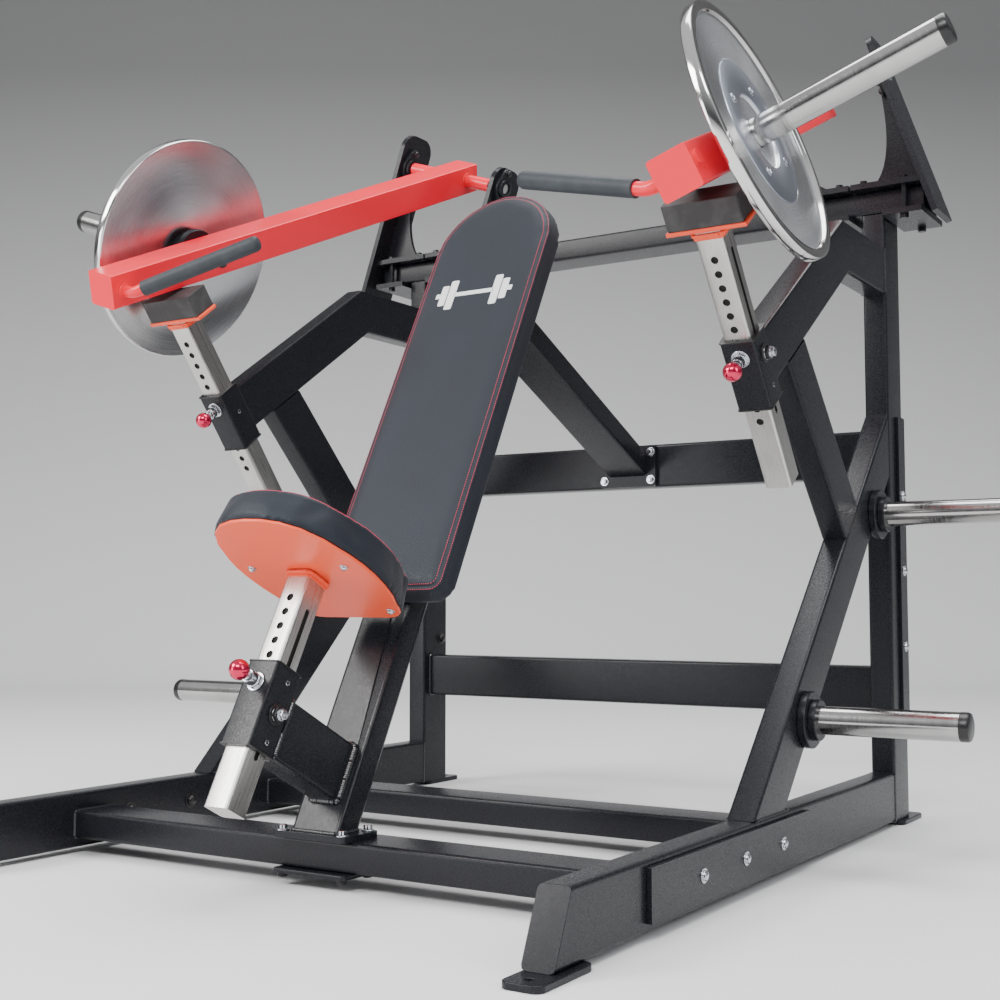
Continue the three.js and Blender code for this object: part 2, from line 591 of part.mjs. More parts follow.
// In an arm group x runs along the pivot axis (outboard on the right, inboard on the left), y is
// the machine's y and z rises in the leaning plane that the arm swings in.
function armGroup(side, parent) {
  const group = new THREE.Group();
  group.position.set(side * PIVOT.x, PIVOT.y, PIVOT.z);
  group.rotation.y = -side * rad(ARM_TILT);
  parent.add(group);
  return group;
}

// A leaning side plate with a round top, bored for the pivot shaft, on a foot that clamps the beam.
function bracket(place, side, parent) {
  const [facing, offset, top] = [place === 'outer' ? 1 : -1, BRACKET[place], BRACKET_TOP[place]];
  const group = armGroup(side, parent);
  group.updateMatrixWorld(true);
  parent.remove(group);
  const { thick, front, rear, corner } = BRACKET;
  const lean = Math.cos(rad(ARM_TILT));
  const axisZ = PIVOT.z + offset * Math.sin(rad(ARM_TILT));
  const low = (BRACKET_FOOT.under - axisZ) / lean;
  const high = (top - axisZ) / lean;
  const shape = new THREE.Shape();
  shape.moveTo(front, low);
  shape.lineTo(rear, low);
  shape.absarc(rear - corner, high - corner, corner, 0, Math.PI / 2, false);
  shape.absarc(front + corner, high - corner, corner, Math.PI / 2, Math.PI, false);
  shape.holes.push(roundHole(0, 0, SHAFT_RADIUS + GAP));
  const plate = new THREE.ExtrudeGeometry(shape, { depth: thick, bevelEnabled: false, curveSegments: 10 });
  plate.applyMatrix4(new THREE.Matrix4().makeBasis(V(0, 1, 0), V(0, 0, 1), V(1, 0, 0)));
  const outward = side * facing;
  plate.translate(side * offset - (outward > 0 ? 0 : thick), 0, 0);
  const leaning = solidOf(plate).transform(group.matrix.elements);
  const deck = PIVOT_BEAM.bottom + BOX.narrow + 2 * GAP;
  const standing = facing > 0 ? leaning : leaning.subtract(beyond(V(0, 0, deck), V(0, 0, -1)));
  const foot = bracketFoot(place, side, outward, axisZ);
  piece(`${sideName(side)}_${place}_bracket`, geometryOf(standing.add(foot)), black, parent);
}

// The foot of a bracket: a flange on the beam, a web with a round cut-out and a clamp under the beam.
function bracketFoot(place, side, outward, axisZ) {
  const { length, thick, overhang, nearBolt, farBolt } = BRACKET_FOOT;
  const t = rad(ARM_TILT);
  const deck = PIVOT_BEAM.bottom + BOX.narrow + 2 * GAP;
  const plateX = (z) => side * (PIVOT.x + BRACKET[place] * Math.cos(t) - (z - axisZ) * Math.tan(t));
  const near = plateX(deck);
  const far = near - outward * length;
  const clampFar = place === 'outer' ? side * (SIDE_X + BOX.narrow / 2 + 4) : far;
  const [yLow, yHigh] = [PIVOT_BEAM.front - overhang, PIVOT_BEAM.front + BOX.wide + overhang];
  const slab = (end, z) => box(V(Math.min(near, end), yLow, z), V(Math.max(near, end), yHigh, z + thick));
  const under = PIVOT_BEAM.bottom - GAP - thick;
  let solid = solidOf(slab(far, deck)).add(solidOf(slab(clampFar, under)));
  for (const y of [yLow + overhang / 2, yHigh - overhang / 2]) {
    const at = (x, z) => V(x, y, z);
    const [nearX, farX] = [near - outward * nearBolt, far + outward * farBolt];
    solid = solid.add(solidOf(rod(6, at(nearX, under + 1), at(nearX, deck + 1))))
      .add(solidOf(rod(9, at(nearX, under - 9), at(nearX, under + 1), 1.5)))
      .add(boltHead(nearX, y, deck + thick - 0.5, 8, 6))
      .add(boltHead(farX, y, deck + thick - 0.5, 8, 6));
  }
  return solid.add(bracketWeb(place, outward, plateX, far, deck));
}

function bracketWeb(place, outward, plateX, far, deck) {
  const [topZ, footZ] = [deck + BRACKET_WEB[place], deck + BRACKET_FOOT.thick];
  const [sunk, lip, footEnd] = [4, 14, far + outward * 40];
  const outline = new THREE.Shape();
  outline.moveTo(plateX(deck) + outward * sunk, deck + sunk);
  outline.lineTo(plateX(topZ) + outward * sunk, topZ);
  outline.lineTo(plateX(topZ) - outward * lip, topZ);
  outline.quadraticCurveTo(plateX(deck + 60) - outward * 40, deck + 60, footEnd, footZ);
  outline.lineTo(footEnd, deck + sunk);
  const web = new THREE.ExtrudeGeometry(outline, {
    depth: BRACKET_WEB.thick, bevelEnabled: false, curveSegments: 10,
  });
  return solidOf(web.rotateX(Math.PI / 2).translate(0, PIVOT.y + BRACKET_WEB.back, 0));
}

function pivotShaft(side, parent) {
  const group = armGroup(side, parent);
  const [from, to] = [side * (BRACKET.inner - 26), side * (BRACKET.outer + BRACKET.thick + 14)];
  piece(`${sideName(side)}_pivot_shaft`, rod(SHAFT_RADIUS, V(from, 0, 0), V(to, 0, 0), 6), steel, group);
}

// In the beam frame y runs back along the arm from the pivot, so the handles are at negative y.
function pressArm(side, parent) {
  const name = sideName(side);
  const tilted = armGroup(side, parent);
  const beam = new THREE.Group();
  beam.rotation.x = rad(ARM_SLOPE[name]);
  tilted.add(beam);
  armBeam(name, side, beam);
  grip(name, side, beam);
  const face = ARM.width / 2 + GAP;
  const horn = piece(`${name}_weight_horn`, hornGeometry(HORN.length, HORN_DISC), chrome, beam);
  horn.position.set(side * face, HORN.along, 0);
  horn.rotation.z = -side * Math.PI / 2;
  const plate = piece(`${name}_weight_plate`, weightPlate(), chrome, beam);
  plate.position.set(side * DISC.centre, HORN.along, 0);
  plate.rotation.z = -side * Math.PI / 2;
}

function armBeam(name, side, parent) {
  const { width, height, wall, reach, tail } = ARM;
  const outside = solidOf(sweep(roundedRect(width, height, 5), V(0, -reach, 0), V(0, tail, 0)));
  const hollowShape = roundedRect(width - 2 * wall, height - 2 * wall, 2);
  const hollow = solidOf(sweep(hollowShape, V(0, wall - reach, 0), V(0, tail - wall, 0)));
  const { radius, bore, inner, outer } = PIVOT_TUBE;
  const tubeSolid = solidOf(rod(radius, V(side * inner, 0, 0), V(side * outer, 0, 0), 6));
  const boreCut = solidOf(rod(bore, V(side * (inner - 5), 0, 0), V(side * (outer + 5), 0, 0), 6));
  const vent = solidOf(rod(3, V(side * 20, -reach + 40, -12), V(side * 50, -reach + 40, -12), 1.5));
  const boss = solidOf(rod(11, V(side * 30, -reach + 24, 8), V(side * (width / 2 + 5), -reach + 24, 8), 3));
  const arm = outside.subtract(hollow).add(tubeSolid).subtract(boreCut).subtract(vent)
    .add(boss).add(handleBar(side));
  piece(`${name}_arm`, geometryOf(arm), red, parent);
}

// The handle leaves the beam's inner face square, bends and runs on inside the grip.
function handleBar(side) {
  const [start, end] = [GRIP.start, GRIP.end].map(([x, y, z]) => V(side * x, y, z));
  const { radius, bend, corner } = HANDLE;
  const inward = V(-side, 0, 0);
  const along = end.clone().sub(start).normalize();
  const meeting = start.clone().addScaledVector(along, -corner);
  const root = V(side * -(ARM.width / 2 - 2), meeting.y, meeting.z);
  const tip = end.clone().addScaledVector(along, -GRIP.radius - 3);
  const run = bend * Math.tan(inward.angleTo(along) / 2);
  const bendStart = meeting.clone().addScaledVector(inward, -run);
  const bendEnd = meeting.clone().addScaledVector(along, run);
  const axis = inward.clone().cross(along).normalize();
  const centre = bendStart.clone().addScaledVector(axis.clone().cross(inward), bend);
  const ring = new THREE.TorusGeometry(bend, radius, 24, 60)
    .applyQuaternion(new THREE.Quaternion().setFromUnitVectors(V(0, 0, 1), axis))
    .translate(centre.x, centre.y, centre.z);
  const elbow = solidOf(ring).subtract(beyond(bendStart, inward.clone().negate()))
    .subtract(beyond(bendEnd, along));
  const overlap = 0.5;
  return elbow.add(solidOf(rod(radius, root, bendStart.addScaledVector(inward, overlap), 6)))
    .add(solidOf(rod(radius, bendEnd.addScaledVector(along, -overlap), tip, 6)));
}

function grip(name, side, parent) {
  const [start, end] = [GRIP.start, GRIP.end].map(([x, y, z]) => V(side * x, y, z));
  const length = end.distanceTo(start);
  const { radius: r, bore } = GRIP;
  const profile = [[bore, 0], [r - 2, 0], [r, 2], [r, length - 9], [r - 3, length - 3], [r - 9, length],
    [0, length], [0, length - 14], [bore, length - 14], [bore, 0]];
  const mesh = piece(`${name}_grip`, lathe(profile, 14), rubber, parent);
  mesh.position.copy(start);
  mesh.quaternion.setFromUnitVectors(V(0, 1, 0), end.clone().sub(start).normalize());
}

// A machined steel disc about y: flat towards the arm, dished outside with a raised rim and hub.
function weightPlate() {
  const { radius: R, thick, bore, chamfer, rim, dish, hub } = DISC;
  const [back, front] = [2 - thick / 2, thick / 2];
  return lathe([
    [bore, back], [R - chamfer, back], [R, back + chamfer], [R, front - chamfer], [R - chamfer, front],
    [R - rim, front], [R - rim - 4, front - dish], [hub, front - dish], [hub - 4, front - 3],
    [bore, front - 3], [bore, back],
  ], 36);
}

// ---------------------------------------------------------------- assembly

const machine = new THREE.Group();
machine.position.set(CENTRE_SHIFT, -(FRONT + REAR) / 2, 0);
crossmembers(machine);
spine(machine);
clampPlate(machine);
seatAssembly(machine);
backrest(machine);
backBrace(machine);
for (const side of [-1, 1]) {
  machine.add(sideFrame(side));
  bracket('outer', side, machine);
  bracket('inner', side, machine);
  pivotShaft(side, machine);
  pressArm(side, machine);
}

const chestPress = new THREE.Group();
chestPress.add(machine);
export default chestPress;
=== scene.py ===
"""Looks of the plate-loaded incline chest press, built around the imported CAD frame."""

import json
import math

import bmesh
import bpy
import numpy as np
from mathutils import Matrix, Vector
from mathutils.bvhtree import BVHTree


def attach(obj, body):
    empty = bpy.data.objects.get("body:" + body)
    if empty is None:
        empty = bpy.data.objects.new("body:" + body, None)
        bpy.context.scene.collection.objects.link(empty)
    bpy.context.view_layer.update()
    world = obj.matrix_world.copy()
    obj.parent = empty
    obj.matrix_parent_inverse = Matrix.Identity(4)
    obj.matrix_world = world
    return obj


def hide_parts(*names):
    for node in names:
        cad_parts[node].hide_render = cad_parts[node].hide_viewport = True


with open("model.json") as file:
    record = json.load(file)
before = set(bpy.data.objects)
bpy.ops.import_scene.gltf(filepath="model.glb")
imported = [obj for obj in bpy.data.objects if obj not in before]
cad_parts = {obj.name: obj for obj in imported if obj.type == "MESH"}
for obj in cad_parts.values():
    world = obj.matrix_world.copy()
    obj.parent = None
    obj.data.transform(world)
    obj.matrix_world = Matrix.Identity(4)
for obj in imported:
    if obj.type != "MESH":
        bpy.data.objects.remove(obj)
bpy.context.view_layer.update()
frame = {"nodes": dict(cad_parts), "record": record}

# ------------------------------------------------------------------ places, in millimetres

MM = 0.001
SHIFT = Vector((3.3, -792.5, 0.0))  # from the machine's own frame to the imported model's
SIDES = {"left": -1, "right": 1}

SIDE_X = 595
TUBE = 50
STOP_TOP = (594, 1066)
STOP_TILT = math.radians(37.4)
STOP_RAISED = {"left": -22, "right": 3.5}
STOP_PIN = -225
SLEEVE_HALF = 31
STOP_SLEEVE = (-324, -196)
SEAT_SLEEVE_TOP = 137
POST = 48
HOLE_PITCH = 25.5
PIN_GAP = 1.2
SEAT_FOOT = (164, 236)
SEAT_PIN = 101
SEAT_TOP = 304.3
LEAN = math.radians(28)
SPINE = (332, 99)
PAD_FOOT = 446
PAD = {"half": 139, "length": 930, "thick": 42, "corner": 34}
SEAT_PAD = {"half": 141, "front": 183, "back": -150, "thick": 60, "corner": 46}
PIVOT = (469.7, 1433, 1534)
ARM_TILT = math.radians(19)
ARM_SLOPE = {"left": math.radians(25.51), "right": math.radians(23.94)}
ARM_HALF = 34
OUTER_BRACKET = 159.7
INNER_BRACKET = 140.3
HORN_ALONG = -845
HORN_LENGTH = 371
DISC_CENTRE = 72
HORN_STEPS = [(50, 14), (36, 27)]
OUTER_PLANE = 620.3
INNER_PLANE = 570
STORE = {"lower": (925, 256), "upper": (1342, 639)}
STORE_LENGTH = 905 - OUTER_PLANE
PLATE_THICK = {"rail": 8, "post": 6}
PLATE_BOLTS = {
    "rail": [(602.5 + y, 62) for y in (-140, 22, 183)],
    "post": [(1512, 527.5 + z) for z in (-160, 0, 160)],
}
GRIP_ENDS = ((-77, -1084, 9), (-287, -968, 117))


def rotation(columns, origin):
    """The matrix of a local frame from its three axes and its origin in machine millimetres."""
    m = Matrix([list(c) for c in columns]).transposed().to_4x4()
    m.translation = (Vector(origin) + SHIFT) * MM
    return m


def turned_x(angle, origin):
    """A frame whose y and z axes are turned about x by angle."""
    c, s = math.cos(angle), math.sin(angle)
    return rotation(((1, 0, 0), (0, c, s), (0, -s, c)), origin)


def aimed(base, origin, axis, near=(0, 0, 1)):
    """A frame inside base, at origin (mm), whose z runs along axis and whose x lies near `near`."""
    z = Vector(axis).normalized()
    x = Vector(near) - z * z.dot(Vector(near))
    if x.length < 1e-3:
        x = Vector((0, 1, 0)) - z * z.y
    x.normalize()
    m = Matrix((x, z.cross(x), z)).transposed().to_4x4()
    m.translation = Vector(origin) * MM
    return base @ m


MACHINE = Matrix.Translation(SHIFT * MM)
SEAT = turned_x(-LEAN, (0, *SEAT_FOOT))
LEAN_UP = Vector((0, math.sin(LEAN), math.cos(LEAN)))
LEAN_BACK = Vector((0, math.cos(LEAN), -math.sin(LEAN)))


def stop_frame(side):
    """The frame at the head of an arm rest's post, with z up the post."""
    return turned_x(STOP_TILT, (SIDES[side] * SIDE_X, *STOP_TOP))


def arm_frame(side):
    """The leaning frame at an arm's pivot: x along the pivot axis, z up."""
    k = SIDES[side]
    tilt = Matrix.Rotation(-k * ARM_TILT, 4, "Y")
    return rotation(tilt.to_3x3().transposed(), (k * PIVOT[0], PIVOT[1], PIVOT[2]))


def beam_frame(side):
    """The arm's own frame at rest: x along the pivot axis, y back along the beam."""
    return arm_frame(side) @ Matrix.Rotation(ARM_SLOPE[side], 4, "X")


def spine_point(z):
    """The axis of the backrest tube at height z."""
    along = (z - SPINE[1] + TUBE / 2 * LEAN_UP.y) / LEAN_UP.z
    return Vector((0, *SPINE)) + LEAN_BACK * (TUBE / 2) + LEAN_UP * along


# ------------------------------------------------------------------ materials


class Paint:
    """A node material built up in steps; coordinates are the object's own, in metres."""

    def __init__(self, name, color, roughness, metallic=0.0, **inputs):
        self.material = bpy.data.materials.new(name)
        self.material.use_nodes = True
        self.tree = self.material.node_tree
        self.bsdf = self.tree.nodes["Principled BSDF"]
        self.bsdf.inputs["Base Color"].default_value = (*color, 1)
        self.bsdf.inputs["Roughness"].default_value = roughness
        self.bsdf.inputs["Metallic"].default_value = metallic
        for key, value in inputs.items():
            self.bsdf.inputs[key.replace("_", " ")].default_value = value
        self.coords = self.tree.nodes.new("ShaderNodeTexCoord").outputs["Object"]

    def node(self, kind, **settings):
        node = self.tree.nodes.new(kind)
        for key, value in settings.items():
            setattr(node, key, value)
        return node

    def link(self, source, target):
        self.tree.links.new(source, target)

    def stretched(self, scale):
        """The coordinates scaled apart along x, y and z, for streaks."""
        mapping = self.node("ShaderNodeMapping")
        mapping.inputs["Scale"].default_value = scale
        self.link(self.coords, mapping.inputs["Vector"])
        return mapping.outputs["Vector"]

    def noise(self, scale, detail=2.0, vector=None):
        node = self.node("ShaderNodeTexNoise")
        node.inputs["Scale"].default_value = scale
        node.inputs["Detail"].default_value = detail
        self.link(vector or self.coords, node.inputs["Vector"])
        return node.outputs["Fac"]

    def cells(self, scale):
        node = self.node("ShaderNodeTexVoronoi")
        node.inputs["Scale"].default_value = scale
        self.link(self.coords, node.inputs["Vector"])
        return node.outputs["Distance"]

    def ramp(self, value, low, high, to_low, to_high):
        node = self.node("ShaderNodeMapRange")
        for key, number in zip(("From Min", "From Max", "To Min", "To Max"), (low, high, to_low, to_high)):
            node.inputs[key].default_value = number
        self.link(value, node.inputs["Value"])
        return node.outputs["Result"]

    def tint(self, factor, first, second):
        mix = self.node("ShaderNodeMix", data_type="RGBA")
        mix.inputs["A"].default_value = (*first, 1)
        mix.inputs["B"].default_value = (*second, 1)
        self.link(factor, mix.inputs["Factor"])
        self.link(mix.outputs["Result"], self.bsdf.inputs["Base Color"])

    def rough(self, value):
        self.link(value, self.bsdf.inputs["Roughness"])

    def bump(self, height, strength, distance):
        """Adds a bump on top of any bump already there."""
        node = self.node("ShaderNodeBump")
        node.inputs["Strength"].default_value = strength
        node.inputs["Distance"].default_value = distance
        self.link(height, node.inputs["Height"])
        socket = self.bsdf.inputs["Normal"]
        if socket.is_linked:
            self.link(socket.links[0].from_socket, node.inputs["Normal"])
        self.link(node.outputs["Normal"], socket)

    def turned(self, amount):
        """Stretches highlights into the fan that a lathe leaves around the object's z axis."""
        tangent = self.node("ShaderNodeTangent", direction_type="RADIAL", axis="Z")
        self.link(tangent.outputs["Tangent"], self.bsdf.inputs["Tangent"])
        self.bsdf.inputs["Anisotropic"].default_value = amount

    def radius(self):
        """Distance from the object's z axis."""
        split = self.node("ShaderNodeVectorMath", operation="MULTIPLY")
        split.inputs[1].default_value = (1, 1, 0)
        self.link(self.coords, split.inputs[0])
        length = self.node("ShaderNodeVectorMath", operation="LENGTH")
        self.link(split.outputs["Vector"], length.inputs[0])
        return length.outputs["Value"]


def powder_coat():
    """Black powder coat: a wrinkled, glossy skin, with lighter specks in its colour that are partly grain
    and partly painted sparkle.
    """
    p = Paint("black_powder_coat", (0.009, 0.0095, 0.012), 0.3, Specular_IOR_Level=0.26)
    # Lighter specks in the base colour: grain, and painted sparkle standing in for the glints of grazing
    # light.
    grain_and_painted_sparkle = p.ramp(p.noise(520, 2), 0.52, 0.7, 0, 1)
    p.tint(grain_and_painted_sparkle, (0.0085, 0.009, 0.012), (0.03, 0.032, 0.037))
    p.rough(p.ramp(p.noise(460, 2), 0.35, 0.65, 0.2, 0.38))
    p.bump(p.noise(540, 2), 0.16, 0.0005)
    return p.material


def bead_coat():
    """Weld metal under the same black coat, glossier where it flowed."""
    p = Paint("coated_weld", (0.02, 0.021, 0.024), 0.14, Specular_IOR_Level=0.9)
    p.rough(p.ramp(p.noise(180, 2), 0.3, 0.7, 0.08, 0.24))
    p.bump(p.noise(420, 2), 0.25, 0.0008)
    return p.material


def gloss_coat(name, dark, light, roughness=0.3):
    """Coloured paint with orange peel and uneven sheen."""
    p = Paint(name, light, roughness, Coat_Weight=0.12, Coat_Roughness=0.2, Specular_IOR_Level=0.34)
    p.tint(p.ramp(p.noise(3, 2), 0.2, 0.8, 0, 1), dark, light)
    p.rough(p.ramp(p.noise(8, 2), 0.2, 0.8, roughness - 0.02, roughness + 0.03))
    p.bump(p.noise(260, 1), 0.04, 0.0001)
    return p.material


def brushed_steel(name, color, roughness, streak):
    """Stainless steel brushed one way, with handling marks."""
    p = Paint(name, color, roughness, 1.0)
    lines = p.noise(1.0, 2, p.stretched(streak))
    p.rough(p.ramp(lines, 0.3, 0.7, roughness - 0.06, roughness + 0.08))
    p.tint(p.ramp(p.noise(11, 4), 0.35, 0.7, 0, 1), [c * 0.84 for c in color], color)
    p.bump(lines, 0.05, 0.00008)
    return p.material


def turned_steel(name, color, roughness, shine):
    """Steel faced on a lathe: fine rings and a fan of light."""
    p = Paint(name, color, roughness, 1.0)
    rings = p.node("ShaderNodeTexNoise", noise_dimensions="1D")
    rings.inputs["Scale"].default_value = 1500
    rings.inputs["Detail"].default_value = 2
    p.link(p.radius(), rings.inputs["W"])
    p.rough(p.ramp(rings.outputs["Fac"], 0.3, 0.7, roughness - 0.02, roughness + 0.03))
    p.bump(rings.outputs["Fac"], 0.012, 0.00004)
    p.turned(shine)
    return p.material


def vinyl(name, color):
    """Upholstery vinyl: a fine woven grain with an uneven sheen."""
    cool = (0.86, 0.93, 1, 1)
    p = Paint(name, color, 0.4, Sheen_Weight=0.08, Specular_IOR_Level=0.36, Specular_Tint=cool)
    p.tint(p.ramp(p.noise(9, 4), 0.3, 0.7, 0, 1), [c * 0.86 for c in color], [c * 1.14 for c in color])
    p.rough(p.ramp(p.noise(320, 3), 0.3, 0.7, 0.42, 0.6))
    p.bump(p.cells(520), 0.45, 0.0004)
    p.bump(p.noise(300, 2), 0.12, 0.0006)
    return p.material


def rubber(name, color, wear, roughness=0.7):
    """Moulded rubber, scuffed paler where it is touched."""
    p = Paint(name, color, roughness, Specular_IOR_Level=0.4)
    p.tint(p.ramp(p.noise(30, 6), 0.46, 0.74, 0, 1), color, wear)
    p.bump(p.noise(800, 2), 0.3, 0.0004)
    return p.material


def plain_part(name, color, roughness, metallic=0.0, **inputs):
    """Small hardware: plated, anodised or moulded, with a faint grain."""
    p = Paint(name, color, roughness, metallic, **inputs)
    p.rough(p.ramp(p.noise(260, 3), 0.3, 0.7, max(roughness - 0.05, 0.03), roughness + 0.06))
    p.tint(p.noise(120, 2), [c * 0.9 for c in color], color)
    p.bump(p.noise(1100, 1), 0.05, 0.0001)
    return p.material


BLACK = powder_coat()
BEAD = bead_coat()
RED = gloss_coat("red_paint", (0.92, 0.010, 0.030), (0.97, 0.014, 0.038))
CORAL = gloss_coat("coral_paint", (0.95, 0.095, 0.034), (0.99, 0.115, 0.042), 0.38)
POST_STEEL = brushed_steel("post_steel", (0.60, 0.59, 0.57), 0.3, (900, 900, 6))
HORN_STEEL = brushed_steel("horn_steel", (0.52, 0.51, 0.50), 0.15, (14, 14, 900))
PLATE_STEEL = turned_steel("plate_steel", (0.72, 0.73, 0.75), 0.28, 0.82)
RIM_STEEL = turned_steel("rim_steel", (0.68, 0.67, 0.66), 0.1, 0.3)
HUB_STEEL = plain_part("hub_steel", (0.52, 0.56, 0.64), 0.34, 1.0)
VINYL = vinyl("pad_vinyl", (0.0080, 0.0105, 0.0170))
GRIP_RUBBER = rubber("grip_rubber", (0.028, 0.034, 0.041), (0.045, 0.052, 0.06), 0.55)
BUMPER_RUBBER = rubber("bumper_rubber", (0.040, 0.040, 0.041), (0.075, 0.075, 0.076))
ZINC = plain_part("zinc_plate", (0.66, 0.68, 0.72), 0.2, 1.0)
PLASTIC = plain_part("black_plastic", (0.010, 0.010, 0.011), 0.3)
# Near-black painted shade, for the insides of the posts and the sockets of set screws where little light
# reaches.
PAINTED_SHADE = plain_part("unlit_bore", (0.004, 0.004, 0.004), 0.8)
KNOB = plain_part("red_anodised", (0.70, 0.01, 0.075), 0.17, 0.8, Coat_Weight=0.6)
THREAD = plain_part("red_thread", (0.70, 0.05, 0.11), 0.6)
PRINT = plain_part("white_print", (0.85, 0.86, 0.87), 0.5)

# ------------------------------------------------------------------ mesh helpers


def drawn(name, bm):
    """The mesh of a bmesh drawn in millimetres."""
    bmesh.ops.scale(bm, vec=(MM, MM, MM), verts=bm.verts)
    bmesh.ops.recalc_face_normals(bm, faces=bm.faces)
    mesh = bpy.data.meshes.new(name)
    bm.to_mesh(mesh)
    bm.free()
    return mesh


def smooth(mesh):
    mesh.polygons.foreach_set("use_smooth", [True] * len(mesh.polygons))


def placed(name, data):
    """A new object in the scene."""
    thing = bpy.data.objects.new(name, data)
    bpy.context.scene.collection.objects.link(thing)
    return thing


def finish(name, bm, material, body, matrix=None, bevel=0.0, sharp=38):
    """Turns a bmesh drawn in millimetres into a piece that rides on a body."""
    mesh = drawn(name, bm)
    smooth(mesh)
    mesh.set_sharp_from_angle(angle=math.radians(sharp))
    mesh.materials.append(material)
    piece = placed(name, mesh)
    piece.matrix_world = matrix if matrix is not None else MACHINE
    if bevel:
        round_edges(piece, bevel)
    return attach(piece, body)


def round_edges(piece, width, angle=38):
    """Rounds the edges of a piece that are sharper than angle."""
    bevel = piece.modifiers.new("edges", "BEVEL")
    bevel.width = width * MM
    bevel.segments = 2
    bevel.angle_limit = math.radians(angle)
    bevel.use_clamp_overlap = True
    weights = piece.modifiers.new("normals", "WEIGHTED_NORMAL")
    weights.keep_sharp = False


def bridge(bm, low, high):
    """Faces between two loops of the same count."""
    for i in range(len(low)):
        j = (i + 1) % len(low)
        bm.faces.new((low[i], low[j], high[j], high[i]))


def close_ends(bm, low, high):
    """Flat faces over the first and last loop of a bar."""
    bm.faces.new(high)
    bm.faces.new(list(reversed(low)))


def applied(piece):
    """Puts the result of a piece's modifiers into its mesh."""
    graph = bpy.context.evaluated_depsgraph_get()
    mesh = bpy.data.meshes.new_from_object(piece.evaluated_get(graph))
    piece.modifiers.clear()
    piece.data = mesh


def add_lathe(bm, profile, steps=64, closed=False, at=None):
    """Adds (radius, height) points turned about z; a radius of 0 closes an end."""
    rings = []
    for r, h in profile:
        count = 1 if r == 0 else steps
        ring = []
        for i in range(count):
            a = math.tau * i / count
            point = Vector((r * math.cos(a), r * math.sin(a), h))
            ring.append(bm.verts.new(at @ point if at else point))
        rings.append(ring)
    pairs = list(zip(rings, rings[1:])) + ([(rings[-1], rings[0])] if closed else [])
    for low, high in pairs:
        for i in range(steps):
            j = (i + 1) % steps
            corners = [low[i % len(low)], low[j % len(low)], high[j % len(high)], high[i % len(high)]]
            unique = list(dict.fromkeys(corners))
            if len(unique) > 2:
                bm.faces.new(unique)


def lathe(name, profile, material, body, matrix, steps=64, closed=False):
    """One piece turned about the z axis of its matrix."""
    bm = bmesh.new()
    add_lathe(bm, profile, steps, closed)
    return finish(name, bm, material, body, matrix)


def local(origin, axis, near=(0, 0, 1)):
    """A 4x4 in millimetres that stands z on axis at origin, for parts gathered into one mesh."""
    m = aimed(Matrix.Identity(4), (0, 0, 0), axis, near)
    m.translation = Vector(origin)
    return m


def add_hex(bm, radius, low, high, at, dome=0.0):
    """A hexagonal nut or bolt head with a chamfered, slightly domed top."""
    crown = high + dome
    add_lathe(bm, [(0, low), (radius, low), (radius, high - 1), (radius - 1.2, high), (0, crown)], 6, at=at)


def add_bolt(bm, at, radius=8.0, height=6.0, kind="hex"):
    """A washer with a hexagonal head, or a low button head, standing on the plane z = 0 of `at`."""
    washer = radius * 1.42
    add_lathe(bm, [(0, 0), (washer, 0), (washer, 1.6), (washer - 0.6, 2.2), (0, 2.2)], 28, at=at)
    if kind == "hex":
        add_hex(bm, radius, 2.0, 2.0 + height, at, 0.4)
        return
    dome = [(0, 2), (radius, 2)]
    for i in range(6):
        a = math.pi / 2 * i / 5
        dome.append((radius * math.cos(a) if i < 5 else 0, 3 + height * math.sin(a)))
    add_lathe(bm, dome, 28, at=at)


def hardware(name, body, places, material=ZINC, matrix=None, **style):
    """Bolts at (origin, axis) places, gathered into one piece."""
    bm = bmesh.new()
    for origin, axis in places:
        add_bolt(bm, local(origin, axis), **style)
    return finish(name, bm, material, body, matrix, bevel=0.25, sharp=30)


def add_bead(bm, points, radius, pitch=5.2, loop=False):
    """A weld bead: a rippled rope laid along a line of points."""
    path = [Vector(p) for p in points] + ([Vector(points[0])] if loop else [])
    rings = []
    travelled = 0.0
    for start, end in zip(path, path[1:]):
        span = (end - start).length
        direction = (end - start).normalized()
        across = direction.orthogonal().normalized()
        over = direction.cross(across)
        steps = max(int(span / 1.7), 2)
        for i in range(steps + 1):
            where = travelled + span * i / steps
            swell = radius * (0.86 + 0.2 * abs(math.sin(math.pi * where / pitch)))
            centre = start.lerp(end, i / steps)
            angles = [math.tau * j / 8 for j in range(8)]
            ring = [centre + (across * math.cos(a) + over * math.sin(a)) * swell for a in angles]
            rings.append([bm.verts.new(p) for p in ring])
        for low, high in zip(rings[-steps - 1:], rings[-steps:]):
            bridge(bm, low, high)
        close_ends(bm, rings[-steps - 1], rings[-1])
        travelled += span


def rectangle(centre, across, up, half_across, half_up, inset=4.0):
    """Corner points of a rectangle with small cut corners, for the bead around a tube's end."""
    c, a, u = Vector(centre), Vector(across).normalized(), Vector(up).normalized()
    signs = ((1, -1, 0, 1), (1, 1, 0, -1), (1, 1, -1, 0), (-1, 1, 1, 0))
    signs += ((-1, 1, 0, -1), (-1, -1, 0, 1), (-1, -1, 1, 0), (1, -1, -1, 0))
    return [c + a * (sa * half_across + da * inset) + u * (su * half_up + du * inset)
            for sa, su, da, du in signs]


# ------------------------------------------------------------------ CAD nodes: finish and edges

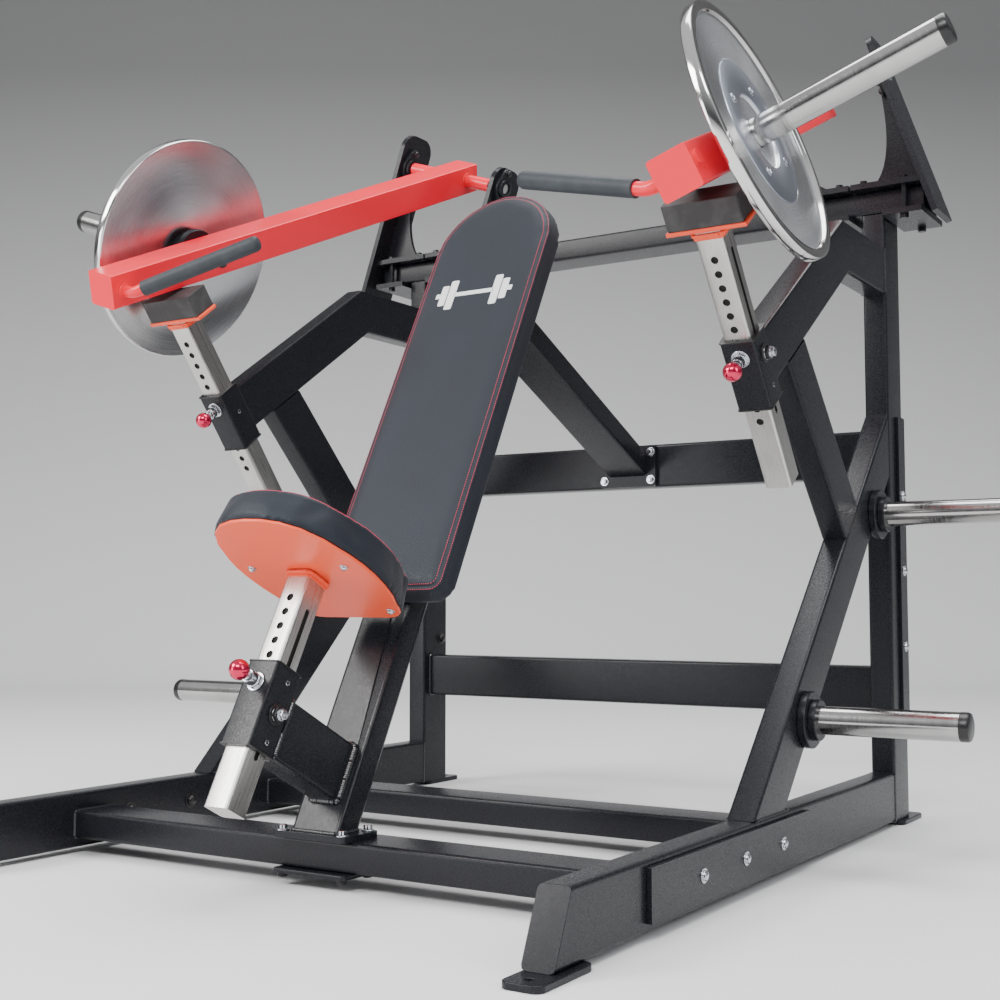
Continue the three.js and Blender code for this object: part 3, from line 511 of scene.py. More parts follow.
SLOT_LOOKS = {
    "black_frame": BLACK, "red_paint": RED, "coral_paint": CORAL, "stainless": POST_STEEL,
    "polished_steel": HORN_STEEL, "rubber": BUMPER_RUBBER, "vinyl": VINYL, "red_knob": KNOB,
}
for part in frame["record"]["subparts"]:
    node = frame["nodes"][part["node"]]
    node.data.materials.clear()
    node.data.materials.append(SLOT_LOOKS[part["material_slot"]])
    if "custom_normal" in node.data.attributes:
        node.data.attributes.remove(node.data.attributes["custom_normal"])
    smooth(node.data)
    weld = node.modifiers.new("weld", "WELD")
    weld.merge_threshold = 2e-5
    flat = node.modifiers.new("flat", "DECIMATE")
    flat.decimate_type = "DISSOLVE"
    flat.angle_limit = math.radians(0.6)
    round_edges(node, 1.8, 40)

# ------------------------------------------------------------------ posts, horns, plates and pins


def square_loop(bm, half, corner, height, at=None):
    """The corners of a square with round corners, across z at a height."""
    loop = []
    for quarter in range(4):
        middle = math.pi / 4 + quarter * math.pi / 2
        centre = Vector((math.copysign(half - corner, math.cos(middle)),
                         math.copysign(half - corner, math.sin(middle)), height))
        for i in range(6):
            a = quarter * math.pi / 2 + math.pi / 2 * i / 5
            point = centre + Vector((math.cos(a), math.sin(a), 0)) * corner
            loop.append(bm.verts.new(at @ point if at else point))
    return loop


def rounded_bar(bm, half, corner, low, high):
    """A closed square bar with round corners along z."""
    ends = [square_loop(bm, half, corner, h) for h in (low, high)]
    bridge(bm, *ends)
    close_ends(bm, *ends)


def square_frame(bm, outer, inner, corner, low, high):
    """A flat square ring with round corners, between two heights."""
    places = ((outer, low), (outer, high), (inner, high), (inner, low))
    loops = [square_loop(bm, half, corner, h) for half, h in places]
    for i in range(4):
        bridge(bm, loops[i], loops[(i + 1) % 4])


def cut_by(piece, cutters):
    """Subtracts a mesh of separate closed cutters and applies the result."""
    boolean = piece.modifiers.new("cut", "BOOLEAN")
    boolean.operation = "DIFFERENCE"
    boolean.solver = "EXACT"
    boolean.object = cutters
    applied(piece)
    bpy.data.objects.remove(cutters)


def post(name, body, matrix, length, first_hole, holes, slot_middle, slot_length, slot_side, node):
    """A stainless tube with a closed foot, a row of round holes in front and a slot in one side; its inside
    is painted near-black as shade.
    """
    half = POST / 2
    bm = bmesh.new()
    rounded_bar(bm, half, 5, -length, 0)
    piece = finish(name, bm, POST_STEEL, body, matrix)
    cuts = bmesh.new()
    rounded_bar(cuts, half - 3, 2.5, 3 - length, -3)
    for i in range(holes):
        hole = local((0, -half - 5, first_hole - HOLE_PITCH * i), (0, 1, 0))
        add_lathe(cuts, [(0, 0), (6.5, 0), (6.5, 15), (0, 15)], 28, at=hole)
    slot = local((slot_side * (half - 9), 0, slot_middle), (slot_side, 0, 0))
    radius = 4.5
    straight = slot_length / 2 - radius
    outline = []
    for i in range(24):
        a = math.pi / 2 + math.pi * (i + 0.5) / 12
        c, s = math.cos(a), math.sin(a)
        outline.append((math.copysign(straight, c) + radius * c, radius * s))
    rings = [[cuts.verts.new(slot @ Vector((x, y, h))) for x, y in outline] for h in (0, 20)]
    bridge(cuts, *rings)
    close_ends(cuts, *rings)
    cutters = finish(f"{name}_cuts", cuts, POST_STEEL, body, matrix)
    cut_by(piece, cutters)
    piece.data.materials.clear()
    for material in (POST_STEEL, PAINTED_SHADE):
        piece.data.materials.append(material)
    # Faces inside the tube and on the walls of its holes and slot get near-black painted shade.
    for face in piece.data.polygons:
        reach = max(abs(face.center.x), abs(face.center.y))
        face.material_index = int(reach < (half - 1.6) * MM and abs(face.normal.z) < 0.7)
    smooth(piece.data)
    piece.data.set_sharp_from_angle(angle=math.radians(30))
    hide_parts(node)


def collar(name, body, matrix, top, height=9):
    """The painted socket and weld around the head of a post."""
    bm = bmesh.new()
    half = POST / 2
    rounded_bar(bm, half + 2.6, 7, top - height, top)
    add_bead(bm, rectangle((0, 0, top - 1), (1, 0, 0), (0, 1, 0), half + 3.6, half + 3.6, 7), 3.2, 7, True)
    return finish(name, bm, CORAL, body, matrix, bevel=1.6)


def liner(name, base, low, high):
    """The black plastic lips of the bushing that a post slides in."""
    bm = bmesh.new()
    square_frame(bm, SLEEVE_HALF + 1.4, POST / 2 + 0.5, 6, low - 2.4, low)
    square_frame(bm, SLEEVE_HALF + 1.4, POST / 2 + 0.5, 6, high, high + 2.4)
    finish(name, bm, PLASTIC, "frame", base, bevel=0.7)


def grub_screws(name, base, places):
    """Countersunk set screws: a bright rim round a near-black disc that is painted shade in place of a
    socket.
    """
    rims, sockets = bmesh.new(), bmesh.new()
    for origin, axis in places:
        at = local(origin, axis)
        add_lathe(rims, [(2.8, 0), (4.4, 0), (4.4, 0.5), (2.8, 0.9)], 24, closed=True, at=at)
        # The socket is a thin near-black disc: painted shade in place of the hole.
        add_lathe(sockets, [(0, 0), (2.9, 0), (2.9, 0.4), (0, 0.4)], 12, at=at)
    finish(f"{name}_rims", rims, ZINC, "frame", base)
    finish(f"{name}_sockets", sockets, PAINTED_SHADE, "frame", base)


def horn(name, body, matrix, length, steps, material, nodes):
    """A plate horn: black discs at its root, a steel tube and a plastic end cap."""
    profile = [(0, 0)]
    for i, (radius, top) in enumerate(steps):
        low = 0 if i == 0 else steps[i - 1][1]
        profile += [(radius - 1.5, low), (radius, low + 1.5), (radius, top - 1.5), (radius - 1.5, top)]
    profile.append((0, steps[-1][1]))
    lathe(f"{name}_discs", profile, BLACK, body, matrix, 72)
    tube = [(0, steps[-1][1] - 1), (24.8, steps[-1][1] - 1), (24.8, length - 17), (0, length - 17)]
    piece = lathe(f"{name}_tube", tube, material, body, matrix, 72)
    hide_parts(*nodes)
    cap = [(0, length - 17), (24.9, length - 17), (24.9, length - 5), (23.2, length - 1.6), (19, length)]
    lathe(f"{name}_cap", cap + [(0, length)], PLASTIC, body, matrix, 72)


def pull_pin(name, body, base, height, node):
    """A ball knob on a silver neck; its nut and washer stay on the socket."""
    at = aimed(base, (0, -POST / 2 - PIN_GAP, height), (0, -1, 0))
    neck_end = SLEEVE_HALF + 22 + 3 - POST / 2 - PIN_GAP
    neck = [(0, 0), (4.8, 0), (4.8, neck_end), (8.8, neck_end), (8.8, neck_end + 1), (6.6, neck_end + 3)]
    lathe(f"{name}_neck", neck + [(6.6, neck_end + 7), (0, neck_end + 7)], ZINC, body, at, 40)
    ball = [(0, neck_end + 4)]
    radius = 16.5
    centre = neck_end + 5 + 14
    start = math.asin(9 / radius)
    for i in range(17):
        a = start + (math.pi - start) * i / 16
        ball.append((radius * math.sin(a) if i < 16 else 0, centre - radius * math.cos(a)))
    piece = lathe(f"{name}_knob", ball, KNOB, body, at, 48)
    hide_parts(node)
    bm = bmesh.new()
    boss = local((0, -SLEEVE_HALF, height), (0, -1, 0))
    add_lathe(bm, [(0, 0), (16, 0), (16, 2), (15, 2.6), (0, 2.6)], 40, at=boss)
    add_hex(bm, 14, 2.4, 9, boss)
    barrel = [(0, 9), (11.3, 9), (11.3, 20), (10.3, 22.4), (5.6, 22.4), (5.6, 21), (0, 21)]
    add_lathe(bm, barrel, 40, at=boss)
    finish(f"{name}_nut", bm, ZINC, "frame", base, bevel=0.3, sharp=30)


def tension_bolt(name, base, origin, axis):
    """A side bolt with a lock nut and washers that steadies a post in its socket."""
    at = local(origin, axis)
    steel, black = bmesh.new(), bmesh.new()
    add_lathe(black, [(0, 0), (17, 0), (17, 2.2), (16, 3), (0, 3)], 36, at=at)
    add_lathe(steel, [(0, 3), (12.5, 3), (12.5, 4.4), (0, 4.4)], 36, at=at)
    add_hex(black, 13.5, 4.4, 11, at)
    add_lathe(steel, [(0, 11), (10, 11), (10, 12.6), (0, 12.6)], 36, at=at)
    add_hex(steel, 8.6, 12.4, 19, at, 1.4)
    finish(f"{name}_bolt", steel, ZINC, "frame", base, bevel=0.3, sharp=30)
    finish(f"{name}_locknut", black, PLASTIC, "frame", base, bevel=0.4, sharp=30)


def weight_plate(side):
    """A polished disc: plain at the back, with a stepped rim and a bolted hub in front."""
    k = SIDES[side]
    at = aimed(beam_frame(side), (k * DISC_CENTRE, HORN_ALONG, 0), (k, 0, 0))
    body = f"{side}_weight"
    rim = 210.5
    profile = [
        (26, -9), (228.5, -9), (231, -8), (232, -6), (232, 8), (231.2, 10.2), (229, 11), (216, 11),
        (214.6, 10), (213.6, 5.5), (211.5, 3.4), (208, 2.6), (160, 2.2), (131.5, 2.2), (130.8, 0.8),
        (66, 0.8), (65.2, -2.5), (62.5, -4), (26, -4),
    ]
    bm = bmesh.new()
    add_lathe(bm, profile, 160, closed=True)
    disc = finish(f"{side}_plate_disc", bm, PLATE_STEEL, body, at, sharp=50)
    disc.data.materials.append(RIM_STEEL)
    for face in disc.data.polygons:
        if math.hypot(face.center.x, face.center.y) > rim * MM:
            face.material_index = 1
    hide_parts(f"{side}_weight_plate")
    hub = [(65.6, 1), (66.4, 3.2), (67.5, 4), (127.4, 4), (129, 3), (129.4, 1)]
    lathe(f"{side}_plate_hub", hub, HUB_STEEL, body, at, 128, closed=True)
    bolts = bmesh.new()
    for i in range(4):
        a = math.pi / 4 + i * math.pi / 2
        head = local((92 * math.cos(a), 92 * math.sin(a), 4), (0, 0, 1))
        add_lathe(bolts, [(0, 0), (8.2, 0), (8.2, 1), (7, 1.8), (4.4, 1.8)], 32, at=head)
        add_lathe(bolts, [(4.4, 1.8), (4.4, 0.4), (0, 0.4)], 6, at=head)
    finish(f"{side}_plate_bolts", bolts, ZINC, body, at, sharp=30)


# ------------------------------------------------------------------ arms


def hoop(x, y, z, radius, count):
    """Points of a circle round the x direction."""
    angles = [math.tau * i / count for i in range(count)]
    return [(x, y + radius * math.cos(a), z + radius * math.sin(a)) for a in angles]


def grip(side):
    """The ribbed rubber sleeve on an arm's handle."""
    k = SIDES[side]
    start, end = (Vector((k * x, y, z)) for x, y, z in GRIP_ENDS)
    length = (end - start).length
    at = aimed(beam_frame(side), start, end - start)
    profile = [(11.9, 0), (14.4, 0), (15.4, 1), (15.5, 3)]
    count = int((length - 24) / 3)
    for i in range(count):
        h = 6 + (length - 26) * i / (count - 1)
        profile.append((15.5 if i % 2 else 15.15, h))
    profile += [(15.5, length - 14), (15.1, length - 7), (13, length - 2.4), (9, length - 0.2), (0, length)]
    piece = lathe(f"{side}_grip_sleeve", [(0, 0.1)] + profile, GRIP_RUBBER, f"{side}_arm", at, 48)
    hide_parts(f"{side}_grip")


def arm_details(side):
    """An arm's weight horn, the plug behind it, and the beads round its handle and pivot tube."""
    k = SIDES[side]
    beam, body = beam_frame(side), f"{side}_arm"
    horn(f"{side}_weight_horn", body, aimed(beam, (k * 34.3, HORN_ALONG, 0), (k, 0, 0)),
         HORN_LENGTH, HORN_STEPS, HORN_STEEL, [f"{side}_weight_horn"])
    plug = [(0, 0), (13.5, 0), (13.5, 1.6), (12, 3.6), (7, 5.2), (0, 5.6)]
    lathe(f"{side}_horn_plug", plug, PLASTIC, body, aimed(beam, (-k * 34, -836, -6), (-k, 0, 0)), 40)
    welds = bmesh.new()
    start = Vector((k * GRIP_ENDS[0][0], *GRIP_ENDS[0][1:]))
    step = (Vector((k * GRIP_ENDS[1][0], *GRIP_ENDS[1][1:])) - start).normalized() * 26
    root = start - step
    add_bead(welds, hoop(-k * ARM_HALF, root.y, root.z, 13, 20), 2.2, 5, True)
    for edge in (-k * ARM_HALF, k * ARM_HALF):
        add_bead(welds, hoop(edge, 0, 0, 18.5, 24), 2.4, 5, True)
    finish(f"{side}_arm_welds", welds, RED, body, beam)


def bearing(name, base, x, facing):
    """A two-bolt flange bearing against a bracket plate, facing along the pivot axis."""
    at = local((x, 0, 0), (facing, 0, 0), (0, 0, 1))
    bm = bmesh.new()
    outline = []
    for i in range(48):
        a = math.tau * i / 48
        stretch = 1 + 0.62 * abs(math.cos(a)) ** 3
        outline.append((30 * math.cos(a) * stretch, 30 * math.sin(a)))
    rings = [[bm.verts.new(at @ Vector((px * s, py * s, h))) for px, py in outline]
             for s, h in ((1, 0), (1, 8), (0.94, 10))]
    for low, high in zip(rings, rings[1:]):
        bridge(bm, low, high)
    close_ends(bm, rings[0], rings[-1])
    add_lathe(bm, [(0, 9), (24, 9), (22.5, 16), (14, 17.5), (14, 12), (0, 12)], 40, at=at)
    finish(f"{name}_housing", bm, BLACK, "frame", base, bevel=0.6)
    heads = bmesh.new()
    for offset in (-38, 38):
        add_bolt(heads, local((x + facing * 9.6, 0, offset), (facing, 0, 0)), 7.5, 6, "dome")
    finish(f"{name}_bolts", heads, PLASTIC, "frame", base)


for side, k in SIDES.items():
    weight_plate(side)
    arm_details(side)
    grip(side)
    socket = stop_frame(side)
    stop = socket @ Matrix.Translation((0, 0, STOP_RAISED[side] * MM))
    post(f"{side}_stop_tube", f"{side}_stop", stop, 492, -50, 13, -197, 315, k, f"{side}_stop_post")
    collar(f"{side}_stop_collar", f"{side}_stop", stop, -4)
    pull_pin(f"{side}_stop_pull", f"{side}_stop_pin", socket, STOP_PIN, f"{side}_stop_pin")
    tension_bolt(f"{side}_stop_tension", socket, (k * SLEEVE_HALF, 0, STOP_PIN - 8), (k, 0, 0))
    liner(f"{side}_stop_liner", socket, *STOP_SLEEVE)
    sides = [((-k * SLEEVE_HALF, 0, -250), (-k, 0, 0)), ((k * SLEEVE_HALF, 2, -296), (k, 0, 0))]
    grub_screws(f"{side}_stop_screws", socket, sides)
    tilted = arm_frame(side)
    bearing(f"{side}_outer_bearing", tilted, k * OUTER_BRACKET, -k)
    bearing(f"{side}_inner_bearing", tilted, -k * INNER_BRACKET, -k)
    nut = [((k * 172.2, 0, 0), (k, 0, 0))]
    hardware(f"{side}_pivot_nut", "frame", nut, matrix=tilted, radius=17, height=13)
    for level, (y, z) in STORE.items():
        root = aimed(MACHINE, (k * OUTER_PLANE, y, z), (k, 0, 0))
        horn(f"{side}_{level}_store", "frame", root, STORE_LENGTH, HORN_STEPS,
             HORN_STEEL, [f"{side}_{level}_storage_horn"])
    for plate, thick in PLATE_THICK.items():
        heads = [((k * (OUTER_PLANE + thick), y, z), (k, 0, 0)) for y, z in PLATE_BOLTS[plate]]
        hardware(f"{side}_{plate}_bolts", "frame", heads, radius=8, height=4.5, kind="dome")
    both = PLATE_BOLTS["post"] + PLATE_BOLTS["rail"]
    inside = [((k * INNER_PLANE, y, z), (-k, 0, 0)) for y, z in both]
    hardware(f"{side}_bolt_caps", "frame", inside, PLASTIC, radius=11, height=9, kind="dome")

post("seat_tube", "seat", SEAT @ Matrix.Translation((0, 0, 0.304)), 405, -50, 10, -190, 260, 1, "seat_post")
collar("seat_collar", "seat", SEAT, SEAT_TOP - 4)
pull_pin("seat_pull", "seat_pin", SEAT, SEAT_PIN, "seat_pin")
tension_bolt("seat_tension", SEAT, (SLEEVE_HALF, 2, 62), (1, 0, 0))
liner("seat_liner", SEAT, 0, SEAT_SLEEVE_TOP)
grub_screws("seat_sleeve_screws", SEAT, [((SLEEVE_HALF, 4, z), (1, 0, 0)) for z in (116, 16)])
corners = [(sign * x, y) for x, y in ((97, -32), (91, 118)) for sign in (-1, 1)]
screws = [((x, y, SEAT_TOP), (0, 0, -1)) for x, y in corners]
hardware("seat_screws", "seat", screws, matrix=SEAT, radius=5.2, height=4, kind="dome")
mount_top = [((x, 356 + y, 88.3), (0, 0, 1)) for x in (-62, 62) for y in (-34, 34)]
hardware("mount_bolts", "frame", mount_top, radius=7.6, height=7.4)
brace_bolts = [((x, 1452.7, 776 + z), (0, -1, 0)) for x in (-60, 60) for z in (-32, 32)]
hardware("brace_bolts", "frame", brace_bolts, radius=7.6, height=6.6)

# ------------------------------------------------------------------ welds of the frame


def frame_welds():
    """Beads round the crossmembers, the feet of the braces and posts, and the stop sockets."""
    bm = bmesh.new()
    flat = [(y, 53, TUBE, TUBE / 2) for y in (377, 906)]
    upright = [(1488, z, TUBE / 2, TUBE) for z in (276, 776)]
    faces = (INNER_PLANE, INNER_PLANE + TUBE)
    for k in SIDES.values():
        inner = k * (INNER_PLANE - 0.5)
        for y, z, half_y, half_z in flat + upright:
            add_bead(bm, rectangle((inner, y, z), (0, 1, 0), (0, 0, 1), half_y, half_z), 2.6, 6, True)
        for y in (690, 828):
            add_bead(bm, [(k * x, y, 110.5) for x in faces], 3, 6)
        add_bead(bm, [(k * x, 1440, 10.5) for x in faces], 3, 6)
        for x in faces:
            add_bead(bm, [(k * x, 690, 110.5), (k * x, 828, 110.5)], 2.4, 6)
            add_bead(bm, [(k * x, 1440, 12), (k * x, 1440, 108)], 2.2, 6)
            add_bead(bm, [(k * x, 1440, 1112), (k * x, 1440, 1208)], 2.4, 6)
    c, s = math.cos(STOP_TILT), math.sin(STOP_TILT)
    y, z = STOP_TOP[0] + SLEEVE_HALF * c, STOP_TOP[1] + SLEEVE_HALF * s
    for k in SIDES.values():
        for x in (-TUBE / 2, TUBE / 2):
            ends = [(k * SIDE_X + x, y - up * s, z + up * c) for up in (-305, -210)]
            add_bead(bm, ends, 2.6, 6)
    return finish("frame_welds", bm, BEAD, "frame")


def seat_welds():
    """Beads where the seat arm meets the backrest tube and its socket."""
    bm = bmesh.new()
    back = (Vector((0, *SPINE)) - Vector((0, *SEAT_FOOT))).dot(LEAN_BACK)
    for y, radius in ((back - 1.5, 5.4), (SLEEVE_HALF + 1, 3.4)):
        add_bead(bm, rectangle((0, y, 50), (1, 0, 0), (0, 0, 1), 30.5, 50.5, 6), radius, 6.5, True)
    return finish("seat_arm_welds", bm, BEAD, "frame", SEAT)


def foot_weld():
    """The bead round the foot of the backrest tube."""
    bm = bmesh.new()
    low = spine_point(89)
    points = rectangle((0, low.y, 89.5), (1, 0, 0), (0, 1, 0), 50, 28.5, 6)
    add_bead(bm, points, 3.4, 6.5, True)
    return finish("mount_weld", bm, BEAD, "frame")


frame_welds()
seat_welds()
foot_weld()

# ------------------------------------------------------------------ upholstery


def pad_outline(half, length, corner, inset=0.0, step=4.0):
    """The back pad seen from the front: square feet with round corners and a full round head."""
    w, r = half - inset, max(corner - inset, 3)
    low, high = inset, length - half
    points = []

    def arc(cx, cy, radius, a0, a1):
        count = max(int(radius * abs(a1 - a0) / step), 4)
        for i in range(count):
            a = a0 + (a1 - a0) * i / count
            points.append((cx + radius * math.cos(a), cy + radius * math.sin(a)))

    def line(x0, y0, x1, y1):
        count = max(int(math.hypot(x1 - x0, y1 - y0) / step), 1)
        points.extend((x0 + (x1 - x0) * i / count, y0 + (y1 - y0) * i / count) for i in range(count))

    line(-w + r, low, w - r, low)
    arc(w - r, low + r, r, -math.pi / 2, 0)
    line(w, low + r, w, high)
    arc(0, high, w, 0, math.pi)
    line(-w, high, -w, low + r)
    arc(r - w, low + r, r, math.pi, 1.5 * math.pi)
    return np.array(points)


def seat_outline(half, front, back, corner, inset=0.0, step=4.0):
    """The seat seen from above with y forward: square at the back, swelling to a round front."""
    rear = half * 0.8
    curves = [
        [(-rear + corner, back), (rear - corner, back)],
        [(rear - corner, back), (rear, back), (rear + corner * 0.12, back + corner)],
        [(rear + corner * 0.12, back + corner), (half * 1.02, -60), (half * 1.06, 20), (half * 0.96, 60)],
        [(half * 0.96, 60), (half * 0.8, front * 0.9), (half * 0.4, front), (0, front)],
    ]
    dense = []
    for control in curves:
        for t in np.linspace(0, 1, 120, endpoint=False):
            points = [np.array(p, float) for p in control]
            while len(points) > 1:
                points = [a * (1 - t) + b * t for a, b in zip(points, points[1:])]
            dense.append(points[0])
    right = np.array([p for p in dense if p[0] >= 0])
    loop = np.vstack([right, (right * (-1, 1))[::-1]])
    gaps = np.linalg.norm(np.roll(loop, -1, 0) - loop, axis=1)
    loop = loop[gaps > 1e-6]
    tangent = np.roll(loop, -1, 0) - np.roll(loop, 1, 0)
    tangent /= np.linalg.norm(tangent, axis=1)[:, None]
    loop = loop + np.column_stack([-tangent[:, 1], tangent[:, 0]]) * inset
    gaps = np.linalg.norm(np.roll(loop, -1, 0) - loop, axis=1)
    travel = np.concatenate([[0], np.cumsum(gaps)])
    closed = np.vstack([loop, loop[:1]])
    at = np.arange(0, travel[-1], step)
    return np.column_stack([np.interp(at, travel, closed[:, i]) for i in (0, 1)])


def edge_distance(points, outline):
    """Distance of each 2D point from a closed outline."""
    nearest = np.full(len(points), 1e9)
    for a, b in zip(outline, np.roll(outline, -1, 0)):
        span = b - a
        t = np.clip(((points - a) @ span) / (span @ span), 0, 1)
        nearest = np.minimum(nearest, np.linalg.norm(points - (a + t[:, None] * span), axis=1))
    return nearest


CLOTH_STEPS = 20


def swollen(name, outline, thick, voxel, cap):
    """A slab of foam in its cover, swelled by a short cloth simulation; its underside stays flat."""
    bm = bmesh.new()
    rings = [[bm.verts.new((x, y, z)) for x, y in outline] for z in (0, thick)]
    bridge(bm, *rings)
    close_ends(bm, *rings)
    piece = placed(name, drawn(name, bm))
    remesh = piece.modifiers.new("remesh", "REMESH")
    remesh.mode = "VOXEL"
    remesh.voxel_size = voxel * MM
    applied(piece)
    rest = vertices(piece)
    held = piece.vertex_groups.new(name="held")
    held.add([i for i, z in enumerate(rest[:, 2]) if z < 6 * MM], 1.0, "REPLACE")
    cloth = piece.modifiers.new("cloth", "CLOTH")
    cloth.settings.quality = 4
    cloth.settings.use_pressure = True
    cloth.settings.uniform_pressure_force = 4
    cloth.settings.effector_weights.gravity = 0
    cloth.settings.vertex_group_mass = "held"
    cloth.settings.tension_stiffness = 25
    cloth.settings.compression_stiffness = 25
    cloth.point_cache.frame_start = 1
    cloth.point_cache.frame_end = CLOTH_STEPS
    for step in range(1, CLOTH_STEPS + 1):
        bpy.context.scene.frame_set(step)
    graph = bpy.context.evaluated_depsgraph_get()
    blown = bpy.data.meshes.new_from_object(piece.evaluated_get(graph))
    moved = np.array([v.co for v in blown.vertices], float) - rest
    length = np.linalg.norm(moved, axis=1)
    limit = np.minimum(1, cap * MM / np.maximum(length, 1e-9))
    piece.modifiers.clear()
    bpy.data.meshes.remove(blown)
    bpy.context.scene.frame_set(1)
    move_vertices(piece, rest + evened(piece, moved * limit[:, None]))
    return piece


def evened(piece, moves, rounds=14):
    """Averages each point's movement with its neighbours', so that taut vinyl holds no dents."""
    ends = np.array([edge.vertices[:] for edge in piece.data.edges])
    count = np.bincount(ends.ravel(), minlength=len(moves))[:, None]
    for _ in range(rounds):
        total = np.zeros_like(moves)
        np.add.at(total, ends[:, 0], moves[ends[:, 1]])
        np.add.at(total, ends[:, 1], moves[ends[:, 0]])
        moves = (moves + total / count) / 2
    return moves


def vertices(piece):
    """The places of a piece's points, as rows of x, y and z in metres."""
    return np.array([v.co for v in piece.data.vertices], float)


def move_vertices(piece, places):
    """Puts a piece's points at new places."""
    piece.data.vertices.foreach_set("co", places.astype(np.float32).ravel())
    piece.data.update()


def subdivided(piece):
    """One level of subdivision, applied."""
    piece.modifiers.new("smooth", "SUBSURF").levels = 1
    applied(piece)
    smooth(piece.data)


def stitches(name, rows, body, matrix, length=3.4, radius=0.62):
    """Thread stitches as short capsules along (point, normal) rows, in millimetres."""
    bm = bmesh.new()
    for row in rows:
        for (a, normal), (b, _) in zip(row, row[1:] + row[:1]):
            direction = b - a
            if direction.length < 1e-6 or direction.length > 12:
                continue
            direction.normalize()
            at = local(a + direction * (length / 2) + normal * 0.15, direction, normal)
            half = length / 2
            profile = [(0, -half), (radius * 0.75, -half * 0.8), (radius, -half * 0.3),
                       (radius, half * 0.3), (radius * 0.75, half * 0.8), (0, half)]
            add_lathe(bm, profile, 6, at=at)
    return finish(name, bm, THREAD, body, matrix, sharp=80)


def surface_row(tree, points, direction, start):
    """Drops 2D outline points onto a surface along a direction from a height, as (point, normal)."""
    row = []
    for x, y in points:
        origin = Vector((x, y, start)) * MM
        hit, normal, _, _ = tree.ray_cast(origin, Vector(direction))
        if hit is not None:
            row.append((hit / MM, normal))
    return row


def groove(places, inside, offset, depth, width, top):
    """Presses a sewn channel into the top face at a distance inside the edge."""
    press = depth * np.exp(-(((inside - offset) / width) ** 2))
    places[:, 2] -= np.where(places[:, 2] > top, press, 0) * MM


def surface_tree(piece):
    """A search tree of a piece's faces, for dropping points onto it."""
    return BVHTree.FromPolygons([v.co for v in piece.data.vertices],
                                [list(p.vertices) for p in piece.data.polygons])


def back_pad():
    """The backrest cushion, with two sewn rows round its face."""
    foot = spine_point(PAD_FOOT) - LEAN_BACK * (TUBE / 2 + 0.3)
    at = rotation(((1, 0, 0), LEAN_UP, -LEAN_BACK), foot)
    shape = {"half": PAD["half"], "length": PAD["length"], "corner": PAD["corner"]}
    pad = swollen("back_pad_cover", pad_outline(**shape, inset=3), PAD["thick"] - 3, 5, 5)
    subdivided(pad)
    edge = pad_outline(**shape)
    places = vertices(pad)
    inside = edge_distance(places[:, :2] / MM, edge)
    groove(places, inside, 15, 1.5, 3.2, PAD["thick"] * MM * 0.82)
    move_vertices(pad, places)
    pad.data.materials.append(VINYL)
    pad.matrix_world = at
    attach(pad, "frame")
    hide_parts("back_pad")
    tree = surface_tree(pad)
    rows = [surface_row(tree, pad_outline(**shape, inset=offset, step=4.6), (0, 0, -1), 90)
            for offset in (10.5, 19.5)]
    stitches("back_pad_stitches", rows, "frame", at)
    pictogram(tree, at)


def pictogram(tree, at):
    """A plain printed dumbbell on the head of the back pad."""
    bm = bmesh.new()
    bars = [(0, 0, 46, 5), (-52, 0, 9, 36), (52, 0, 9, 36), (-71, 0, 8, 25), (71, 0, 8, 25),
            (-84, 0, 5, 6), (84, 0, 5, 6)]
    for cx, cy, half_x, half_y in bars:
        columns, lines = max(int(half_x), 3), max(int(half_y), 3)
        grid = []
        for i in range(columns + 1):
            column = []
            for j in range(lines + 1):
                u, v = 2 * i / columns - 1, 2 * j / lines - 1
                pinch = 1 - 0.05 * max(abs(u), abs(v)) ** 8 * min(abs(u), abs(v)) ** 8
                x, y = cx + half_x * u * pinch, 668 + cy + half_y * v * pinch
                hit, normal, _, _ = tree.ray_cast(Vector((x, y, 90)) * MM, Vector((0, 0, -1)))
                column.append(bm.verts.new((hit + normal * 0.35 * MM) / MM))
            grid.append(column)
        for a, b in zip(grid, grid[1:]):
            for j in range(lines):
                bm.faces.new((a[j], b[j], b[j + 1], a[j + 1]))
    print_piece = finish("back_pad_pictogram", bm, PRINT, "frame", at)
    solid = print_piece.modifiers.new("film", "SOLIDIFY")
    solid.thickness = 0.3 * MM


def seat_pad():
    """The seat cushion, sewn round its side and near the edge of its top."""
    base = SEAT @ Matrix.Translation((0, 0, (SEAT_TOP + 6.3) * MM))
    at = base @ Matrix(((-1, 0, 0, 0), (0, -1, 0, 0), (0, 0, 1, 0), (0, 0, 0, 1)))
    shape = {key: SEAT_PAD[key] for key in ("half", "front", "back", "corner")}
    pad = swollen("seat_pad_cover", seat_outline(**shape, inset=3), SEAT_PAD["thick"] - 3, 5, 7)
    subdivided(pad)
    edge = seat_outline(**shape)
    places = vertices(pad)
    inside = edge_distance(places[:, :2] / MM, edge)
    groove(places, inside, 12, 1.2, 3, SEAT_PAD["thick"] * MM * 0.85)
    move_vertices(pad, places)
    pad.data.materials.append(VINYL)
    pad.matrix_world = at
    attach(pad, "seat")
    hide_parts("seat_pad")
    tree = surface_tree(pad)
    height = SEAT_PAD["thick"] - 4.5
    outline = seat_outline(**shape, inset=-25, step=4.6)
    middle = Vector((0, 10, height))
    side_row = []
    for x, y in outline:
        origin = Vector((x, y, height))
        hit, normal, _, _ = tree.ray_cast(origin * MM, (middle - origin).normalized())
        if hit is not None:
            side_row.append((hit / MM, normal))
    top_row = surface_row(tree, seat_outline(**shape, inset=12, step=4.6), (0, 0, -1), 110)
    stitches("seat_pad_stitches", [side_row, top_row], "seat", at)


back_pad()
seat_pad()

# ------------------------------------------------------------------ stage, light and camera

CAMERA_PLACE = (1500, -1478, 470)
CAMERA_TURN = math.radians(32.3)
CAMERA_PITCH = math.radians(3.984)
CAMERA_LENS = 50.65
MIDDLE = (0, 0, 0.7)


